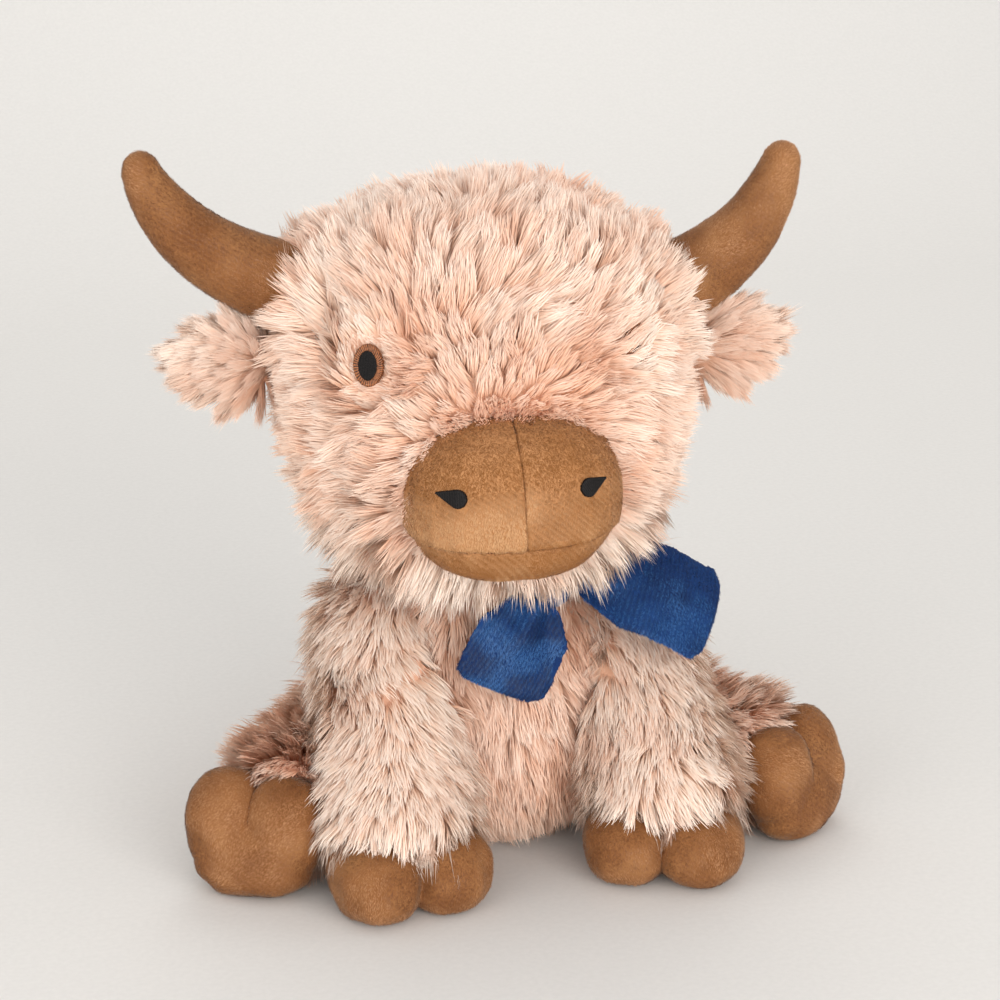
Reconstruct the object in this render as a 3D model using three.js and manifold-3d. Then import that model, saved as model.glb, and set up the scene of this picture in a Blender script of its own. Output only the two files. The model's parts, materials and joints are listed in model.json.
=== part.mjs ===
// A sitting plush cow with long fur, sewn horns and a tied neck scarf.
// Sizes are in millimetres. +Z is up and the cow faces -Y, so its own left side is at +X.
// The part's origin is on the floor, in the middle of everything that the cow takes up.

import * as THREE from 'three';
import { mergeVertices } from 'three/addons/utils/BufferGeometryUtils.js';
import Module from 'manifold-3d';

const wasm = await Module();
wasm.setup();

// Clearances that every sewn neighbour keeps
const seamGap = 0.3;
const jointGap = 1;
const restCut = 0.5;
const coverThickness = 3;

// The seat: a rounded bag that is flat where it rests
const bodyHalfWidth = 54;
const bodyHalfDepth = 50;
const bodyUpperHeight = 74;
const bodyLowerHeight = 50.5;
const bodyForward = 4;
const bodyFullness = 2.3;
const baseFullness = 3.6;

// The neck seam, level, about which the head turns
const neckHeight = 112;
const neckForward = 12;
const neckOpeningRadius = 18;

// The head, carried a little forward of the neck, turned to the cow's right and leant over
const headTurnAngle = -5.4;
const headLeanAngle = 2;
const headAside = 1.1;
const headHalfWidth = 67;
const headHalfDepth = 59;
const headHalfHeight = 63;
const headForward = 12;
const headRise = 54;
const headFullness = 2.5;

// The snout, two short-pile panels over a lip panel
const muzzleHalfWidth = 35;
const muzzleHalfDepth = 31;
const muzzleHalfHeight = 28;
const muzzleForward = 52;
const muzzleRise = 30;
const muzzleFullness = 2.4;
const mouthDrop = 8.8;
const lipInset = 1.6;

// Satin-stitched eyes and nostrils
const stitchThickness = 1.2;
const eyeHalfWidth = 5;
const eyeHalfHeight = 6.5;
const pupilHalfWidth = 3.2;
const pupilHalfHeight = 4.6;
const eyeSpread = 42.5;
const eyeRise = 74.6;
const nostrilLength = 10.4;
const nostrilRadius = 2.7;
const nostrilSpread = 20.4;
const nostrilRise = 38.8;
const nostrilTiltAngle = 10;

// Horns: curved, stuffed tubes with blunt tips
const hornRootRadius = 14.2;
const hornTipRadius = 8.6;
const hornTipShare = 0.1;
const hornRootOut = 54;
const hornRootRise = 79;
const hornReach = 54;
const hornSweep = 17;
const hornClimb = 46;
const hornUneven = 6;

// Ears: flat leaves that swing on their root seam
const earRootRise = 57;
const earUneven = 4;
const earLength = 31;
const earHalfHeight = 12;
const earHalfThickness = 4.6;
const earLiftAngle = 18;
const earRootShare = 0.6;
const earBowShare = 0.8;

// Front legs: sleeves that hang from the shoulders and stand on split hooves
const shoulderOutLeft = 42;
const shoulderOutRight = 36;
const shoulderBack = 20;
const shoulderHeight = 75.5;
const shoulderRadius = 22.5;
const frontLegReach = 45;
const frontLegSplay = 7;
const frontAnkleHeight = 22;
const frontAnkleRadius = 23.8;

// Hind legs: short thighs that lie out to the sides, with their soles to the front
const hipOut = 36;
const hipForward = 0;
const hipHeight = 29;
const hipRadius = 24;
const hindLegLengthLeft = 69;
const hindLegLengthRight = 59;
const hindLegSplayAngleLeft = 49;
const hindLegSplayAngleRight = 44;
const hindAnkleRadius = 18.5;
const ankleRoundShare = 0.14;
const hindSoleSplayAngleLeft = 42;
const hindSoleSplayAngleRight = 30;
const hindSoleLeanAngle = 14;
const soleUprightAngle = 90;

// Every foot: two toes and a heel
const footHalfWidth = 26;
const footLength = 46;
const footThickness = 25;
const toeHalfWidth = 14.2;
const heelHalfWidth = 22.5;
const footFullness = 2.6;
const toeLengthShare = 0.84;
const heelLengthShare = 0.68;
const ankleShare = 0.62;
const hindFootShare = 0.88;
const toeInAngleLeft = 20;
const toeInAngleRight = 6;

// Tail: a slim tube with a tuft, lying behind the seat
const tailHeight = 30;
const tailRadius = 4.5;
const tailLength = 36;
const tailBendShare = 0.7;
const tuftRadius = 9;
const tuftLength = 32;

// Scarf: a doubled velour strip round the neck, tied in front a little to the cow's left
const scarfThickness = 4;
const scarfWidth = 34;
const gatherShare = 0.46;
const gatheredShare = 0.36;
const cornerShare = 0.07;
const halfwayShare = 0.5;
const bandHeight = 13;
const bandDrop = 0.6;
const knotOut = 10;
const knotForward = 53;
const knotDrop = 11;
const knotHalfWidth = 9.5;
const knotHalfHeight = 9;
const knotHalfDepth = 8;
const knotFullness = 2.4;
const frontEndDrop = 31;
const frontEndAside = 15;
const frontEndForward = 3;
const sideEndReach = 45;
const sideEndDrop = 18.5;
const sideEndForward = 9;
const sideEndTiltAngle = 38;

const degree = Math.PI / 180;
const sides = { left: 1, right: -1 };

/** Colours and finishes, one for each material that the toy is sewn from. */
const finishes = {
  fur: { color: 0xe6c8b6, roughness: 0.85, metalness: 0 },
  filling: { color: 0xf4f2ec, roughness: 1, metalness: 0 },
  velour: { color: 0xb98248, roughness: 0.8, metalness: 0 },
  scarf: { color: 0x244a8c, roughness: 0.75, metalness: 0 },
  brownThread: { color: 0x8a4a28, roughness: 0.5, metalness: 0 },
  blackThread: { color: 0x17120f, roughness: 0.45, metalness: 0 },
};

// Closed solids

/** Turns a closed three.js geometry into a solid for joining and cutting. */
function solid(geometry) {
  const bare = geometry.clone();
  bare.deleteAttribute('normal');
  bare.deleteAttribute('uv');
  const merged = mergeVertices(bare);
  return new wasm.Manifold(new wasm.Mesh({
    numProp: 3,
    vertProperties: new Float32Array(merged.attributes.position.array),
    triVerts: new Uint32Array(merged.index.array),
  }));
}

/** Names a finished solid and gives it its place and finish in the toy. */
function piece(name, finish, form, parent) {
  const { vertProperties, triVerts } = form.getMesh();
  const geometry = new THREE.BufferGeometry();
  geometry.setAttribute('position', new THREE.BufferAttribute(vertProperties, 3));
  geometry.setIndex(new THREE.BufferAttribute(triVerts, 1));
  geometry.computeVertexNormals();
  const mesh = new THREE.Mesh(geometry, new THREE.MeshStandardMaterial(finishes[finish]));
  mesh.name = name;
  parent.add(mesh);
  return mesh;
}

/** Moves a finished solid into a frame whose origin is at `pivot`. */
function into(form, pivot) {
  return form.translate([-pivot.x, -pivot.y, -pivot.z]);
}

/** Adds a frame at a pivot. */
function frameAt(pivot, parent) {
  const frame = new THREE.Group();
  frame.position.copy(pivot);
  parent.add(frame);
  return frame;
}

/** A ball pulled out to a fuller form: half sizes, fullness (2 is an ellipsoid) and a centre. */
function puff(half, fullness, centre, around = 26, rings = 16, base = { height: half.z, fullness }) {
  const geometry = new THREE.SphereGeometry(1, around, rings);
  geometry.rotateX(Math.PI / 2);
  const point = new THREE.Vector3();
  const place = geometry.attributes.position;
  for (let i = 0; i < place.count; i += 1) {
    point.fromBufferAttribute(place, i);
    const full = point.z < 0 ? base.fullness : fullness;
    const level = Math.hypot(point.x, point.y) ** full + Math.abs(point.z) ** full;
    const round = (Math.abs(point.x) ** fullness + Math.abs(point.y) ** fullness) ** (-1 / fullness);
    const spread = Math.hypot(point.x, point.y) > 0 ? round * Math.hypot(point.x, point.y) : 0;
    point.multiplyScalar(level ** (-1 / full));
    point.set(point.x * spread, point.y * spread, point.z);
    point.multiply(point.z < 0 ? new THREE.Vector3(half.x, half.y, base.height) : half).add(centre);
    place.setXYZ(i, point.x, point.y, point.z);
  }
  return geometry;
}

/**
 * A stuffed tube along a curve, round at both ends. wide(t) and deep(t) are its half sizes;
 * wide is measured along `side`, and the rings crowd towards the ends, where it rounds off.
 */
function stuffed(curve, wide, deep, side, rings = 12, around = 16) {
  const points = [];
  const indices = [];
  const across = new THREE.Vector3();
  const through = new THREE.Vector3();
  points.push(...curve.getPointAt(0).toArray());
  for (let ring = 1; ring < rings; ring += 1) {
    const t = (1 - Math.cos(Math.PI * ring / rings)) / 2;
    const centre = curve.getPointAt(t);
    const tangent = curve.getTangentAt(t);
    across.copy(side).addScaledVector(tangent, -side.dot(tangent)).normalize();
    through.crossVectors(tangent, across);
    for (let step = 0; step < around; step += 1) {
      const angle = 2 * Math.PI * step / around;
      const point = centre.clone()
        .addScaledVector(across, wide(t) * Math.cos(angle))
        .addScaledVector(through, deep(t) * Math.sin(angle));
      points.push(...point.toArray());
    }
  }
  points.push(...curve.getPointAt(1).toArray());
  const last = 1 + (rings - 1) * around;
  for (let step = 0; step < around; step += 1) {
    const next = (step + 1) % around;
    indices.push(0, 1 + next, 1 + step);
    for (let ring = 0; ring < rings - 2; ring += 1) {
      const low = 1 + ring * around;
      const high = low + around;
      indices.push(low + step, low + next, high + next);
      indices.push(low + step, high + next, high + step);
    }
    indices.push(last, last - around + step, last - around + next);
  }
  const geometry = new THREE.BufferGeometry();
  geometry.setAttribute('position', new THREE.Float32BufferAttribute(points, 3));
  geometry.setIndex(indices);
  return geometry;
}

/** How far open a tube is at t, where its first and last shares round off. */
function rounded(t, firstShare, lastShare) {
  const first = Math.max(0, 1 - t / firstShare);
  const last = Math.max(0, 1 - (1 - t) / lastShare);
  return Math.sqrt(1 - first ** 2) * Math.sqrt(1 - last ** 2);
}

/** A block that holds everything between two heights, wider than the whole toy. */
function slab(low, high) {
  const reach = 8 * bodyHalfWidth;
  const geometry = new THREE.BoxGeometry(reach, reach, high - low);
  geometry.translate(0, 0, (low + high) / 2);
  return solid(geometry);
}

/** An upright round column about an axis point, from low to high. */
function column(axisPoint, radius, low, high) {
  const geometry = new THREE.CylinderGeometry(radius, radius, high - low, 16);
  geometry.rotateX(Math.PI / 2);
  geometry.translate(axisPoint.x, axisPoint.y, (low + high) / 2);
  return solid(geometry);
}

/** Places a geometry by a pitch, then a turn about Z, then a shift. */
function placed(geometry, pitch, turn, shift) {
  return geometry.clone().rotateX(pitch * degree).rotateZ(turn * degree).translate(...shift.toArray());
}

/** The point and outward normal on the front of a puff, straight ahead of a place. */
function seatOn(half, fullness, centre, x, z) {
  const across = (x - centre.x) / half.x;
  const up = (z - centre.z) / half.z;
  const out = (1 - Math.abs(across) ** fullness - Math.abs(up) ** fullness) ** (1 / fullness);
  const steep = fullness - 1;
  const normal = new THREE.Vector3(
    Math.sign(across) * Math.abs(across) ** steep / half.x,
    -(out ** steep) / half.y,
    Math.sign(up) * Math.abs(up) ** steep / half.z,
  ).normalize();
  return { point: new THREE.Vector3(x, centre.y - out * half.y, z), normal };
}

/** A prism of an outline, standing out and in from a seat on a curved surface. */
function prismAt(outline, seat, reach) {
  const options = { depth: 2 * reach, bevelEnabled: false, curveSegments: 8 };
  const geometry = new THREE.ExtrudeGeometry(outline, options);
  geometry.translate(0, 0, -reach);
  const right = new THREE.Vector3(0, 0, 1).cross(seat.normal).normalize();
  const up = seat.normal.clone().cross(right);
  geometry.applyMatrix4(new THREE.Matrix4().makeBasis(right, up, seat.normal));
  geometry.translate(...seat.point.toArray());
  return solid(geometry);
}

/** An oval outline. */
function oval(halfWidth, halfHeight) {
  return new THREE.Shape().absellipse(0, 0, halfWidth, halfHeight, 0, 2 * Math.PI);
}

/** A teardrop: a round end at the origin and a point out along `turn`. */
function teardrop(radius, length, turn) {
  const reach = length - radius;
  const tangent = Math.acos(radius / reach);
  const shape = new THREE.Shape();
  shape.moveTo(reach * Math.cos(turn), reach * Math.sin(turn));
  shape.lineTo(radius * Math.cos(turn + tangent), radius * Math.sin(turn + tangent));
  shape.absarc(0, 0, radius, turn + tangent, turn - tangent + 2 * Math.PI, false);
  return shape;
}

// The seat and its neck

const bodyCentre = new THREE.Vector3(0, -bodyForward, bodyLowerHeight - restCut);
const neckPivot = new THREE.Vector3(-headAside, -neckForward, neckHeight);
const headroom = 2 * (headRise + headHalfHeight);

/** The seat's outside, thicker by `extra`, before anything is cut from it. */
function bodyForm(extra, around = 26, rings = 16) {
  const half = new THREE.Vector3(bodyHalfWidth + extra, bodyHalfDepth + extra, bodyUpperHeight + extra);
  const base = { height: bodyLowerHeight + extra, fullness: baseFullness };
  return solid(puff(half, bodyFullness, bodyCentre, around, rings, base));
}

/** The ball at the top of a limb, about its own pivot. */
function ball(pivot, radius, around = 16, rings = 10) {
  return solid(puff(new THREE.Vector3(radius, radius, radius), 2, pivot, around, rings));
}

const shoulders = {
  left: new THREE.Vector3(shoulderOutLeft, -shoulderBack, shoulderHeight),
  right: new THREE.Vector3(-shoulderOutRight, -shoulderBack, shoulderHeight),
};
const hips = {
  left: new THREE.Vector3(hipOut, -hipForward, hipHeight),
  right: new THREE.Vector3(-hipOut, -hipForward, hipHeight),
};

/** The dents that the four limbs sit in, deeper by `extra`. */
function sockets(extra, around, rings) {
  const dent = (pivot, radius) => ball(pivot, radius + extra, around, rings);
  const atShoulders = Object.values(shoulders).map((pivot) => dent(pivot, shoulderRadius));
  const atHips = Object.values(hips).map((pivot) => dent(pivot, hipRadius));
  return [...atShoulders, ...atHips].reduce((all, one) => all.add(one));
}

/** The seat's cover, open only at the neck, and its filling. */
function addBody(parent) {
  const room = slab(0, neckHeight);
  const outside = bodyForm(0).intersect(room).subtract(sockets(jointGap));
  const roof = neckHeight - coverThickness;
  const hollow = bodyForm(-coverThickness, 18, 10)
    .intersect(slab(coverThickness - restCut, roof))
    .subtract(sockets(jointGap + coverThickness, 12, 8))
    .add(column(neckPivot, neckOpeningRadius, roof - coverThickness, headroom));
  piece('body_cover', 'fur', outside.subtract(hollow), parent);
  const packed = bodyForm(-coverThickness - seamGap, 18, 10)
    .intersect(slab(coverThickness - restCut + seamGap, roof - seamGap))
    .subtract(sockets(jointGap + coverThickness + seamGap, 12, 8));
  piece('body_filling', 'filling', packed, parent);
}

// The head, in its own frame: the origin is on the neck seam and it faces -Y

const headCentre = new THREE.Vector3(0, -headForward, headRise);

/** The half sizes of the head, thicker by `extra`. */
function headHalf(extra) {
  return new THREE.Vector3(headHalfWidth + extra, headHalfDepth + extra, headHalfHeight + extra);
}

/** The head's outside, thicker by `extra`. */
function headForm(extra, around = 26, rings = 16) {
  return solid(puff(headHalf(extra), headFullness, headCentre, around, rings));
}

/** The head's cover, open only at the neck, which stays level, and its filling. */
function addHead(parent) {
  const level = (form) => form.rotate([0, headLeanAngle, -headTurnAngle]);
  const inside = headForm(-coverThickness, 18, 10);
  const opening = column(new THREE.Vector3(), neckOpeningRadius, -headroom, 2 * coverThickness);
  const hollow = inside.intersect(level(slab(seamGap + coverThickness, headroom))).add(level(opening));
  const cover = headForm(0).intersect(level(slab(seamGap, headroom))).subtract(hollow);
  const packed = headForm(-coverThickness - seamGap, 18, 10)
    .intersect(level(slab(coverThickness + 2 * seamGap, headroom)));
  piece('head_cover', 'fur', cover, parent);
  piece('head_filling', 'filling', packed, parent);
}

const muzzleCentre = new THREE.Vector3(0, headCentre.y - muzzleForward, muzzleRise);
const muzzleHalf = new THREE.Vector3(muzzleHalfWidth, muzzleHalfDepth, muzzleHalfHeight);
const mouthHeight = muzzleRise - mouthDrop;

/** Two nose panels with a seam between them, and the lip panel under the mouth. */
function addMuzzle(parent) {
  const behind = headForm(seamGap);
  const snout = solid(puff(muzzleHalf, muzzleFullness, muzzleCentre)).subtract(behind);
  const upper = snout.intersect(slab(mouthHeight, headroom));
  for (const [name, side] of Object.entries(sides)) {
    const half = new THREE.BoxGeometry(headroom, headroom, headroom);
    half.translate(side * (headroom + seamGap) / 2, 0, 0);
    piece(`muzzle_panel_${name}`, 'velour', upper.intersect(solid(half)), parent);
  }
  const lipHalf = muzzleHalf.clone().subScalar(lipInset);
  const lip = solid(puff(lipHalf, muzzleFullness, muzzleCentre)).subtract(behind);
  piece('lip_panel', 'velour', lip.intersect(slab(-headroom, mouthHeight - seamGap)), parent);
}

/** Satin-stitched nostrils: teardrops that lie on the snout and point up and out. */
function addNostrils(parent) {
  const grown = (extra) => solid(puff(muzzleHalf.clone().addScalar(extra), muzzleFullness, muzzleCentre));
  const skin = grown(seamGap + stitchThickness).subtract(grown(seamGap));
  for (const [name, side] of Object.entries(sides)) {
    const seat = seatOn(muzzleHalf, muzzleFullness, muzzleCentre, side * nostrilSpread, nostrilRise);
    const turn = side > 0 ? nostrilTiltAngle * degree : Math.PI - nostrilTiltAngle * degree;
    const outline = teardrop(nostrilRadius, nostrilLength, turn);
    const stitched = prismAt(outline, seat, 3 * stitchThickness).intersect(skin);
    piece(`nostril_${name}`, 'blackThread', stitched, parent);
  }
}

/** Satin-stitched eyes: a brown ring round a black middle, lying on the face. */
function addEyes(parent) {
  const skin = headForm(seamGap + stitchThickness).subtract(headForm(seamGap));
  for (const [name, side] of Object.entries(sides)) {
    const seat = seatOn(headHalf(0), headFullness, headCentre, side * eyeSpread, eyeRise);
    const reach = 4 * stitchThickness;
    const whole = prismAt(oval(eyeHalfWidth, eyeHalfHeight), seat, reach).intersect(skin);
    const hole = prismAt(oval(pupilHalfWidth + seamGap, pupilHalfHeight + seamGap), seat, 2 * reach);
    const middle = prismAt(oval(pupilHalfWidth, pupilHalfHeight), seat, reach).intersect(skin);
    piece(`eye_ring_${name}`, 'brownThread', whole.subtract(hole), parent);
    piece(`eye_middle_${name}`, 'blackThread', middle, parent);
  }
}

// How far a horn has gone out, back and up, as shares of its reach, sweep and climb
const hornPathShares = [[0, 0, 0], [0.34, 0.12, 0.16], [0.64, 0.36, 0.38], [0.87, 0.68, 0.68], [1, 1, 1]];

/** Horns: they leave the sides of the crown level and curve up to blunt tips. */
function addHorns(parent) {
  for (const [name, side] of Object.entries(sides)) {
    const path = hornPathShares.map(([out, back, up]) => new THREE.Vector3(
      side * (hornRootOut + out * hornReach),
      headCentre.y + back * hornSweep,
      hornRootRise + up * hornClimb - side * hornUneven,
    ));
    const taper = (t) => hornRootRadius + (hornTipRadius - hornRootRadius) * t;
    const radius = (t) => taper(t) * rounded(t, hornTipShare, hornTipShare);
    const curve = new THREE.CatmullRomCurve3(path);
    const horn = stuffed(curve, radius, radius, new THREE.Vector3(0, 1, 0), 12, 12);
    piece(`horn_${name}`, 'velour', solid(horn).subtract(headForm(seamGap)), parent);
  }
}

/** Ears: flat leaves below the horns, each in a frame at its root so that it can swing. */
function addEars(parent) {
  for (const [name, side] of Object.entries(sides)) {
    const rise = earRootRise - side * earUneven;
    const level = Math.abs(rise - headRise) / headHalfHeight;
    const surface = headHalfWidth * (1 - level ** headFullness) ** (1 / headFullness);
    const out = side * (surface + seamGap + earHalfThickness);
    const frame = frameAt(new THREE.Vector3(out, headCentre.y, rise), parent);
    const along = new THREE.Vector3(side * Math.cos(earLiftAngle * degree), 0, Math.sin(earLiftAngle * degree));
    const root = along.clone().multiplyScalar(-earHalfThickness);
    const tip = along.clone().multiplyScalar(earLength - earHalfThickness);
    const rootShare = earHalfThickness / earLength;
    const bow = (t) => earRootShare + (1 - earRootShare) * Math.sin(Math.PI * t ** earBowShare);
    const wide = (t) => earHalfHeight * bow(t) * rounded(t, rootShare, earRootShare);
    const deep = (t) => earHalfThickness * rounded(t, rootShare, earRootShare / 2);
    const leaf = stuffed(new THREE.LineCurve3(root, tip), wide, deep, new THREE.Vector3(0, 0, 1), 10, 12);
    const face = into(headForm(2 * seamGap), frame.position);
    piece(`ear_${name}`, 'fur', solid(leaf).subtract(face), frame);
  }
}

// Feet and legs

/** A split foot: sole down at z = 0, toes to -Y, the ankle over the origin. */
function footGeometries(extra, sizeShare) {
  const thick = sizeShare * footThickness / 2;
  const toeHalfLength = toeLengthShare * sizeShare * footLength / 2;
  const heelHalfLength = heelLengthShare * sizeShare * footLength / 2;
  const toe = new THREE.Vector3(sizeShare * toeHalfWidth, toeHalfLength, thick).addScalar(extra);
  const heel = new THREE.Vector3(sizeShare * heelHalfWidth, heelHalfLength, thick).addScalar(extra);
  const toeOut = sizeShare * (footHalfWidth - toeHalfWidth);
  const toeCentre = toeHalfLength - ankleShare * sizeShare * footLength;
  const heelCentre = (1 - ankleShare) * sizeShare * footLength - heelHalfLength;
  return [
    puff(toe, footFullness, new THREE.Vector3(toeOut, toeCentre, thick), 12, 8),
    puff(toe, footFullness, new THREE.Vector3(-toeOut, toeCentre, thick), 12, 8),
    puff(heel, footFullness, new THREE.Vector3(0, heelCentre, thick), 12, 8),
  ];
}

/** A foot at its place: pitched, turned about Z and shifted, as one solid. */
function footForm(extra, sizeShare, pitch, turn, shift) {
  return footGeometries(extra, sizeShare)
    .map((lobe) => solid(placed(lobe, pitch, turn, shift)))
    .reduce((all, lobe) => all.add(lobe));
}

const toeIn = { left: -toeInAngleLeft, right: toeInAngleRight };
const fallen = new THREE.Vector3(0, 0, -restCut);

/** The line of a front leg: its shoulder, its ankle and the direction from one to the other. */
function frontLegLine(name) {
  const shoulder = shoulders[name];
  const ankle = new THREE.Vector3(
    shoulder.x + sides[name] * frontLegSplay,
    shoulder.y - frontLegReach,
    frontAnkleHeight,
  );
  return { shoulder, ankle, along: ankle.clone().sub(shoulder).normalize() };
}

/** A front leg's sleeve before anything is cut from it, thicker by `extra`. */
function frontSleeveForm(name, extra) {
  const { shoulder, ankle, along } = frontLegLine(name);
  const end = ankle.clone().addScaledVector(along, frontAnkleHeight / 2);
  const curve = new THREE.LineCurve3(shoulder.clone().addScaledVector(along, -shoulderRadius - extra), end);
  const share = (shoulderRadius + extra) / curve.getLength();
  const taper = (t) => shoulderRadius + (frontAnkleRadius - shoulderRadius) * t + extra;
  const radius = (t) => taper(t) * rounded(t, share, ankleRoundShare);
  return solid(stuffed(curve, radius, radius, new THREE.Vector3(1, 0, 0), 9, 16));
}

/** A front leg's hoof, on the floor under its ankle. */
function frontHoofForm(name, extra) {
  const { ankle } = frontLegLine(name);
  const shift = new THREE.Vector3(ankle.x, ankle.y, 0).add(fallen);
  return footForm(extra, 1, 0, toeIn[name], shift);
}

/** Front legs: sleeves seated in the shoulders, each with its hoof. */
function addFrontLegs(parent) {
  const seat = bodyForm(2 * seamGap);
  const floor = slab(0, headroom);
  for (const [name, pivot] of Object.entries(shoulders)) {
    const frame = frameAt(pivot, parent);
    const hoof = frontHoofForm(name, 0).intersect(floor);
    const sleeve = frontSleeveForm(name, 0)
      .subtract(seat)
      .add(ball(pivot, shoulderRadius))
      .subtract(frontHoofForm(name, seamGap));
    piece(`front_leg_${name}`, 'fur', into(sleeve, pivot), frame);
    piece(`front_hoof_${name}`, 'velour', into(hoof, pivot), frame);
  }
}

const hindLegLengths = { left: hindLegLengthLeft, right: hindLegLengthRight };
const hindLegSplays = { left: hindLegSplayAngleLeft, right: -hindLegSplayAngleRight };
const hindSoleTurns = { left: hindSoleSplayAngleLeft, right: -hindSoleSplayAngleRight };

/** A point of a hind leg's line, level with the hip and `reach` out from it. */
function hindPoint(name, reach) {
  const splay = hindLegSplays[name] * degree;
  const out = new THREE.Vector3(Math.sin(splay), -Math.cos(splay), 0);
  return hips[name].clone().addScaledVector(out, reach);
}

/** A hind foot on its heel, sole to the front and toes up. */
function hindHoofForm(name, extra) {
  const pitch = -(soleUprightAngle + hindSoleLeanAngle);
  const turn = hindSoleTurns[name];
  const lowest = Math.min(...footGeometries(0, hindFootShare).map((lobe) => {
    const stood = placed(lobe, pitch, turn, new THREE.Vector3());
    stood.computeBoundingBox();
    return stood.boundingBox.min.z;
  }));
  const sole = hindPoint(name, hindLegLengths[name] + footThickness);
  sole.z = -lowest - restCut;
  return footForm(extra, hindFootShare, pitch, turn, sole);
}

/** A hind leg's sleeve before anything is cut from it. */
function hindSleeveForm(name) {
  const pivot = hips[name];
  const ankle = hindPoint(name, hindLegLengths[name]);
  ankle.z = hindAnkleRadius + 2 * coverThickness;
  const along = ankle.clone().sub(pivot).normalize();
  const end = ankle.clone().addScaledVector(along, footThickness / 2);
  const curve = new THREE.LineCurve3(pivot.clone().addScaledVector(along, -hipRadius), end);
  const share = hipRadius / curve.getLength();
  const taper = (t) => hipRadius + (hindAnkleRadius - hipRadius) * t;
  const radius = (t) => taper(t) * rounded(t, share, ankleRoundShare);
  return solid(stuffed(curve, radius, radius, new THREE.Vector3(0, 0, 1), 9, 16));
}

/** Hind legs: thighs seated in the hips and clear of the front legs, each with its hoof. */
function addHindLegs(parent) {
  const seat = bodyForm(2 * seamGap);
  const floor = slab(0, headroom);
  for (const [name, pivot] of Object.entries(hips)) {
    const frame = frameAt(pivot, parent);
    const hoof = hindHoofForm(name, 0).intersect(floor);
    const sleeve = hindSleeveForm(name)
      .subtract(seat)
      .add(ball(pivot, hipRadius))
      .subtract(hindHoofForm(name, seamGap))
      .subtract(frontSleeveForm(name, seamGap));
    piece(`hind_leg_${name}`, 'fur', into(sleeve, pivot), frame);
    piece(`hind_hoof_${name}`, 'velour', into(hoof, pivot), frame);
  }
}

// Tail

/** The tail's line, from its seam on the seat to the floor behind it. */
function tailLine() {
  const level = (bodyCentre.z - tailHeight) / bodyLowerHeight;
  const surface = bodyHalfDepth * (1 - level ** baseFullness) ** (1 / baseFullness);
  const start = bodyCentre.y + surface + seamGap;
  return new THREE.CatmullRomCurve3([
    new THREE.Vector3(0, start, tailHeight),
    new THREE.Vector3(0, start + 2 * tailRadius, tailHeight),
    new THREE.Vector3(0, start + tailLength / 2, tailBendShare * tailHeight),
    new THREE.Vector3(0, start + tailLength, tuftRadius + coverThickness / 2),
  ]);
}

/** A slim tail and the tuft sewn over its end. */
function addTail(parent) {
  const line = tailLine();
  const pivot = line.getPointAt(0).add(new THREE.Vector3(0, tailRadius, 0));
  const frame = frameAt(pivot, parent);
  const share = tailRadius / line.getLength();
  const form = (extra) => {
    const radius = (t) => (tailRadius + extra) * rounded(t, share, share);
    return solid(stuffed(line, radius, radius, new THREE.Vector3(1, 0, 0), 10, 8));
  };
  const end = line.getPointAt(1);
  const tuftHalf = new THREE.Vector3(tuftRadius, tuftLength / 2, tuftRadius);
  const tuft = solid(puff(tuftHalf, 2, end, 14, 9)).subtract(form(seamGap));
  piece('tail', 'fur', into(form(0), pivot), frame);
  piece('tail_tuft', 'fur', into(tuft, pivot), frame);
}

// Scarf

const knot = new THREE.Vector3(knotOut, -knotForward, neckHeight - knotDrop);

/** The strip round the neck: a low ring on the seat's cover, just under the neck seam. */
function bandForm(extra) {
  const top = neckHeight - bandDrop;
  return bodyForm(seamGap + scarfThickness + extra)
    .subtract(bodyForm(seamGap - extra))
    .intersect(slab(top - bandHeight - extra, top + extra));
}

/** The line of the front end: down from the knot's front, and a little to the cow's right. */
function frontEndLine() {
  const hem = scarfThickness / 2;
  const root = new THREE.Vector3(knot.x - knotHalfWidth / 2, knot.y - knotHalfDepth, knot.z - hem);
  const end = root.clone().add(new THREE.Vector3(-frontEndAside, -frontEndForward, -frontEndDrop));
  const bend = root.clone().lerp(end, halfwayShare).add(new THREE.Vector3(0, -hem, 0));
  return new THREE.CatmullRomCurve3([root, bend, end]);
}

/** The line of the side end: out from the knot and down over the left shoulder. */
function sideEndLine() {
  const start = knot.x + knotHalfWidth + seamGap;
  const root = new THREE.Vector3(start, knot.y - scarfThickness, knot.z + scarfThickness);
  const end = root.clone().add(new THREE.Vector3(sideEndReach, -sideEndForward, -sideEndDrop));
  const rise = new THREE.Vector3(0, -scarfThickness, scarfThickness);
  const bend = root.clone().lerp(end, halfwayShare).add(rise);
  return new THREE.CatmullRomCurve3([root, bend, end]);
}

/** A loose end of the scarf: a flat strip along its line, tilted back and drawn in at the knot. */
function looseEnd(line, tiltAngle, extra) {
  const along = line.getTangentAt(1);
  const behind = new THREE.Vector3(0, Math.cos(tiltAngle * degree), -Math.sin(tiltAngle * degree));
  const side = behind.cross(along).normalize();
  const share = scarfThickness / 2 / line.getLength();
  const spread = (t) => gatherShare + (1 - gatherShare) * Math.min(1, t / gatheredShare);
  const wide = (t) => (scarfWidth / 2 * spread(t) + extra) * rounded(t, share, cornerShare);
  const deep = (t) => (scarfThickness / 2 + extra) * rounded(t, share, share);
  return solid(stuffed(line, wide, deep, side, 10, 12));
}

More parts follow.
